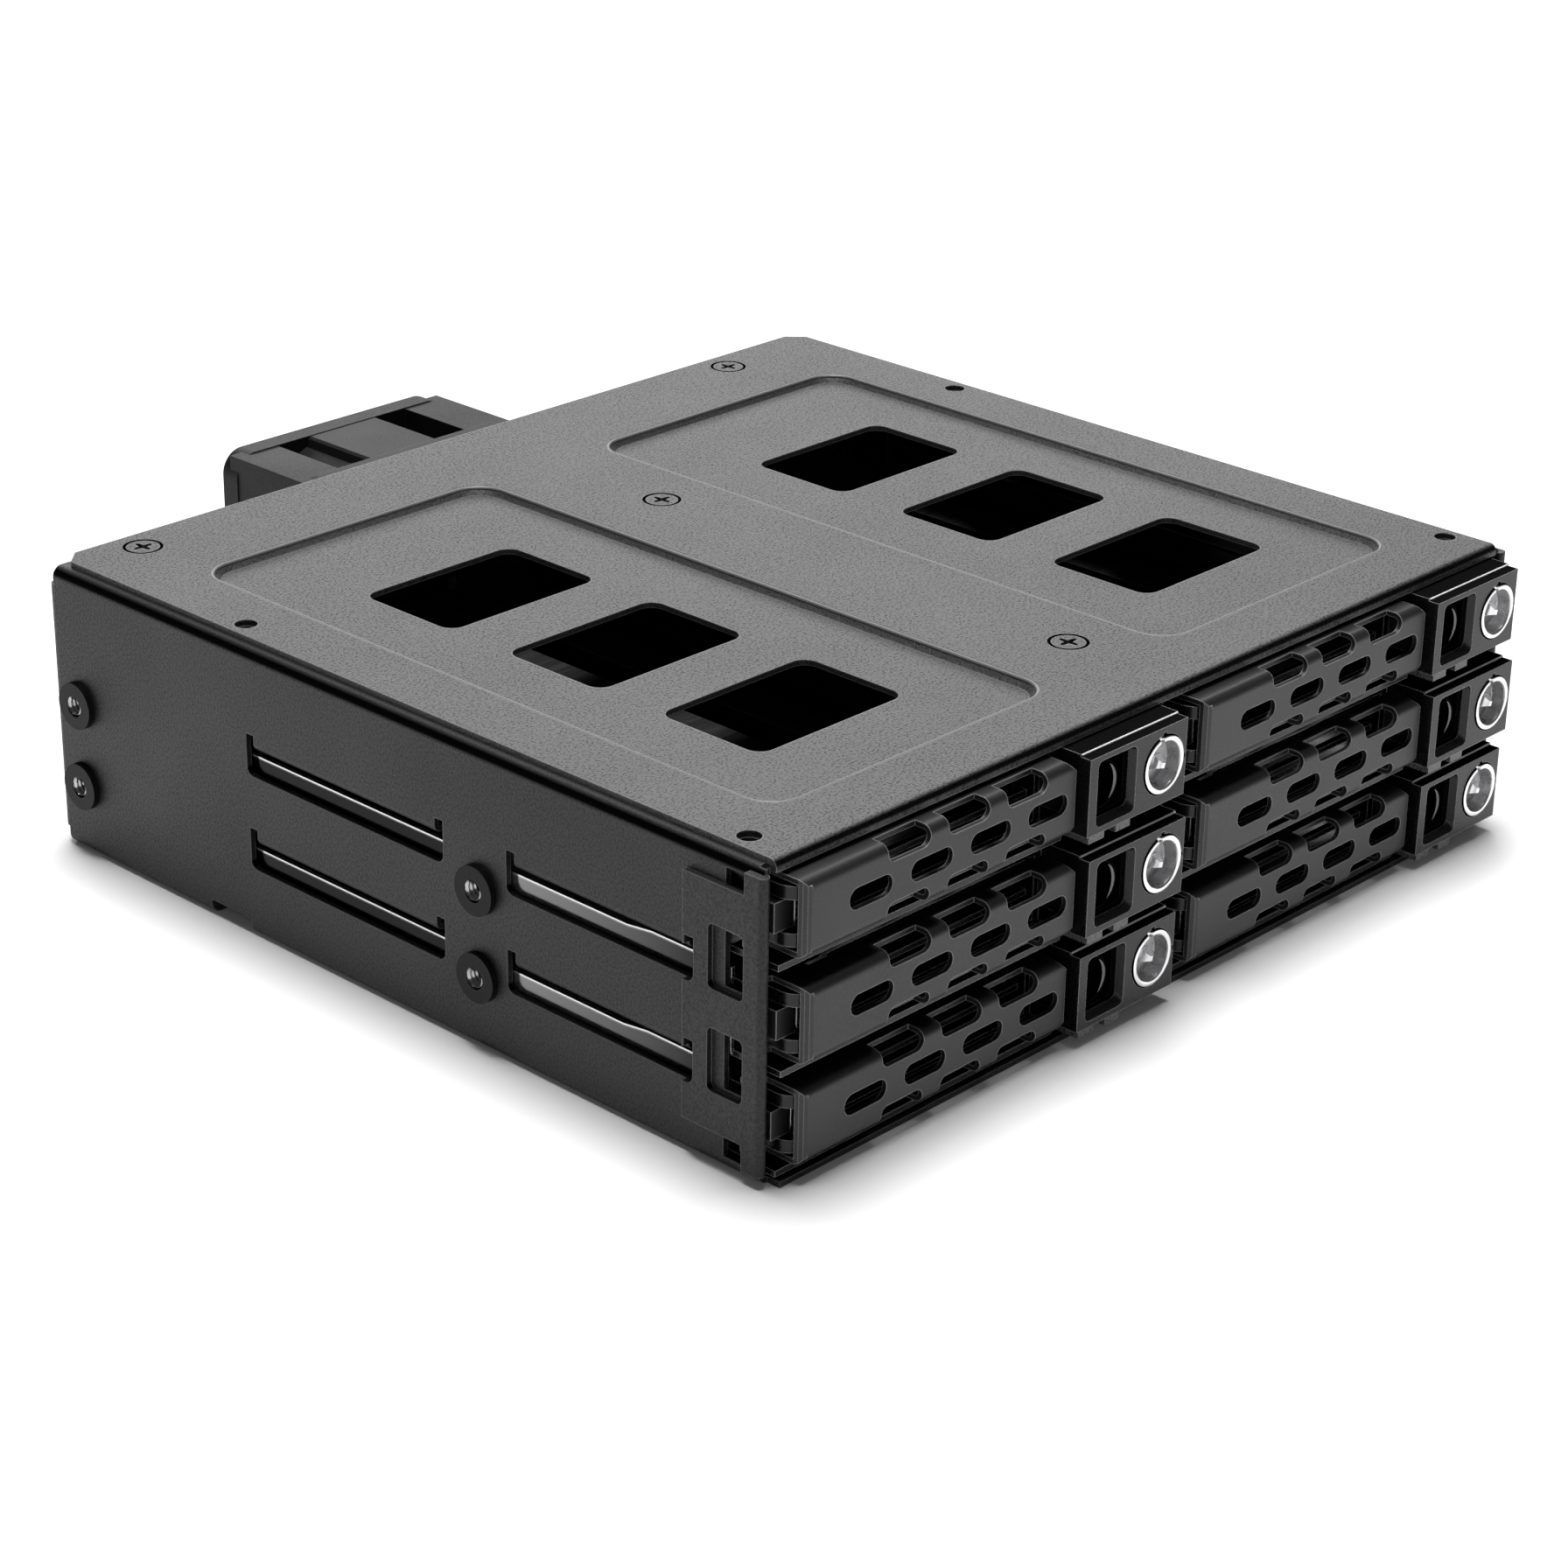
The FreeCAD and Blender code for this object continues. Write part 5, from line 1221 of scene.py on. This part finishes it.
@dataclass
class PhotoCamera:
    """The photograph's viewpoint, fitted to the object's known points, angles in degrees."""

    azimuth: float = -46.934
    elevation: float = 24.346
    roll: float = 0.999
    distance: float = 517.142 * MM
    aim_right: float = 6.284 * MM
    aim_up: float = -14.661 * MM
    aim: Triple = (0.0, 8.5 * MM, 20.0 * MM)
    focal_pixels: float = 4262.97
    image_pixels: float = 1792.0
    sensor: float = 36.0
    nearest: float = 0.02
    farthest: float = 20.0

    def build(self) -> None:
        """Makes the camera.

        It looks back along the direction of the azimuth and elevation, is turned by the
        roll, and its aim is moved to the right and up in the picture.
        """
        azimuth, elevation, roll = (math.radians(angle) for angle in
                                    (self.azimuth, self.elevation, self.roll))
        back = Vector((math.sin(azimuth) * math.cos(elevation),
                       -math.cos(azimuth) * math.cos(elevation), math.sin(elevation)))
        level = Vector((0, 0, 1)).cross(back).normalized()
        upright = back.cross(level)
        right = level * math.cos(roll) + upright * math.sin(roll)
        up = upright * math.cos(roll) - level * math.sin(roll)
        target = Vector(self.aim) + right * self.aim_right + up * self.aim_up
        data = bpy.data.cameras.new("photo_camera")
        data.sensor_width = self.sensor
        data.lens = self.focal_pixels / self.image_pixels * self.sensor
        data.clip_start = self.nearest
        data.clip_end = self.farthest
        camera = bpy.data.objects.new("photo_camera", data)
        turn = Matrix((right, up, back)).transposed().to_4x4()
        camera.matrix_world = Matrix.Translation(target + back * self.distance) @ turn
        bpy.context.scene.collection.objects.link(camera)
        bpy.context.scene.camera = camera
        LOG.info("camera at %s", tuple(round(part, 4) for part in camera.location))


@dataclass
class Lamp:
    """One soft rectangular lamp, aimed at a point."""

    name: str
    place: Triple
    aim: Triple
    width: float
    height: float
    power: float

    def build(self) -> None:
        """Makes the lamp."""
        data = bpy.data.lights.new(self.name, "AREA")
        data.shape = "RECTANGLE"
        data.size = self.width
        data.size_y = self.height
        data.energy = self.power
        lamp = bpy.data.objects.new(self.name, data)
        lamp.location = self.place
        way = Vector(self.aim) - Vector(self.place)
        lamp.rotation_euler = way.to_track_quat("-Z", "Y").to_euler()
        bpy.context.scene.collection.objects.link(lamp)


@dataclass
class Studio:
    """Pale floor, surroundings that are white to the camera, and soft lamps.

    Lengths are in metres. The floor glows faintly, and to the camera more and more from
    white_from to white_to, where it is white.
    """

    floor_half: float = 3.0
    floor_level: float = -0.05 * MM
    floor_low: float = 0.88
    floor_high: float = 0.9
    floor_grain: float = 6.0
    floor_rough: float = 0.9
    floor_specular: float = 0.1
    floor_glow: float = 0.02
    white_from: float = 0.35
    white_to: float = 0.9
    world_fill: float = 0.08
    world_gloss: float = 0.08
    world_seen: float = 1.0
    lamps: tuple[Lamp, ...] = (
        Lamp("rear_softbox", (0.8, 0.9, 0.68), (0.0, 0.0, 0.03), 1.3, 0.9, 9.5),
        Lamp("top_softbox", (0.04, 0.08, 1.1), (0.0, 0.0, 0.0), 0.5, 0.5, 18.0),
        Lamp("front_strip", (-0.45, -0.95, 0.14), (0.0, -0.05, 0.02), 0.8, 0.2, 0.7),
    )

    def build(self) -> None:
        """Makes the floor, the world and the lamps."""
        self.floor()
        self.world()
        for lamp in self.lamps:
            lamp.build()
        bpy.context.scene.view_settings.view_transform = "Standard"

    def floor(self) -> None:
        """A large pale plane that keeps the object's shadow and turns white far off."""
        half = self.floor_half
        mesh = bpy.data.meshes.new("studio_floor")
        corners = [(-half, -half, self.floor_level), (half, -half, self.floor_level),
                   (half, half, self.floor_level), (-half, half, self.floor_level)]
        mesh.from_pydata(corners, [], [(0, 1, 2, 3)])
        make = Nodes("pale_floor")
        tone = make.ranged(make.noise(self.floor_grain), self.floor_low, self.floor_high)
        make.fixed(Roughness=self.floor_rough, Specular_IOR_Level=self.floor_specular,
                   Emission_Color=(*WHITE, 1.0))
        reach = make.add("ShaderNodeVectorMath", operation="LENGTH")
        make.link(make.place, reach.inputs[0])
        far = make.ranged(reach.outputs["Value"], 0.0, 1.0, self.white_from, self.white_to)
        seen = make.add("ShaderNodeLightPath").outputs["Is Camera Ray"]
        glow = make.maths("ADD", make.maths("MULTIPLY", far, seen), self.floor_glow)
        make.driven(Base_Color=tone, Emission_Strength=glow)
        mesh.materials.append(make.material)
        floor = bpy.data.objects.new("studio_floor", mesh)
        bpy.context.scene.collection.objects.link(floor)

    def world(self) -> None:
        """White to the camera and through clear plastic, dim in reflections and as light."""
        world = bpy.data.worlds.new("studio")
        world.use_nodes = True
        bpy.context.scene.world = world
        tree = world.node_tree
        background = tree.nodes["Background"]
        background.inputs["Color"].default_value = (*WHITE, 1.0)
        path = tree.nodes.new("ShaderNodeLightPath")
        level: Socket | float = self.world_fill
        for ray, strength in (("Is Glossy Ray", self.world_gloss),
                              ("Is Transmission Ray", self.world_seen),
                              ("Is Camera Ray", self.world_seen)):
            mix = tree.nodes.new("ShaderNodeMix")
            tree.links.new(path.outputs[ray], mix.inputs["Factor"])
            if isinstance(level, float):
                mix.inputs["A"].default_value = level
            else:
                tree.links.new(level, mix.inputs["A"])
            mix.inputs["B"].default_value = strength
            level = mix.outputs["Result"]
        tree.links.new(level, background.inputs["Strength"])


def main() -> None:
    """Builds the looks in order."""
    logging.basicConfig(level=logging.INFO, format="%(message)s")
    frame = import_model()
    PhotoCamera().build()
    finishes = Finishes()
    finishes.dress(frame)
    Fasteners().build(finishes)
    KeyLock().build(finishes)
    ButtonLip().build(finishes)
    FanPads().build(finishes)
    PanelShoulders().build(finishes)
    BlockStep().build(finishes)
    Studio().build()


if __name__ == "__main__":
    main()
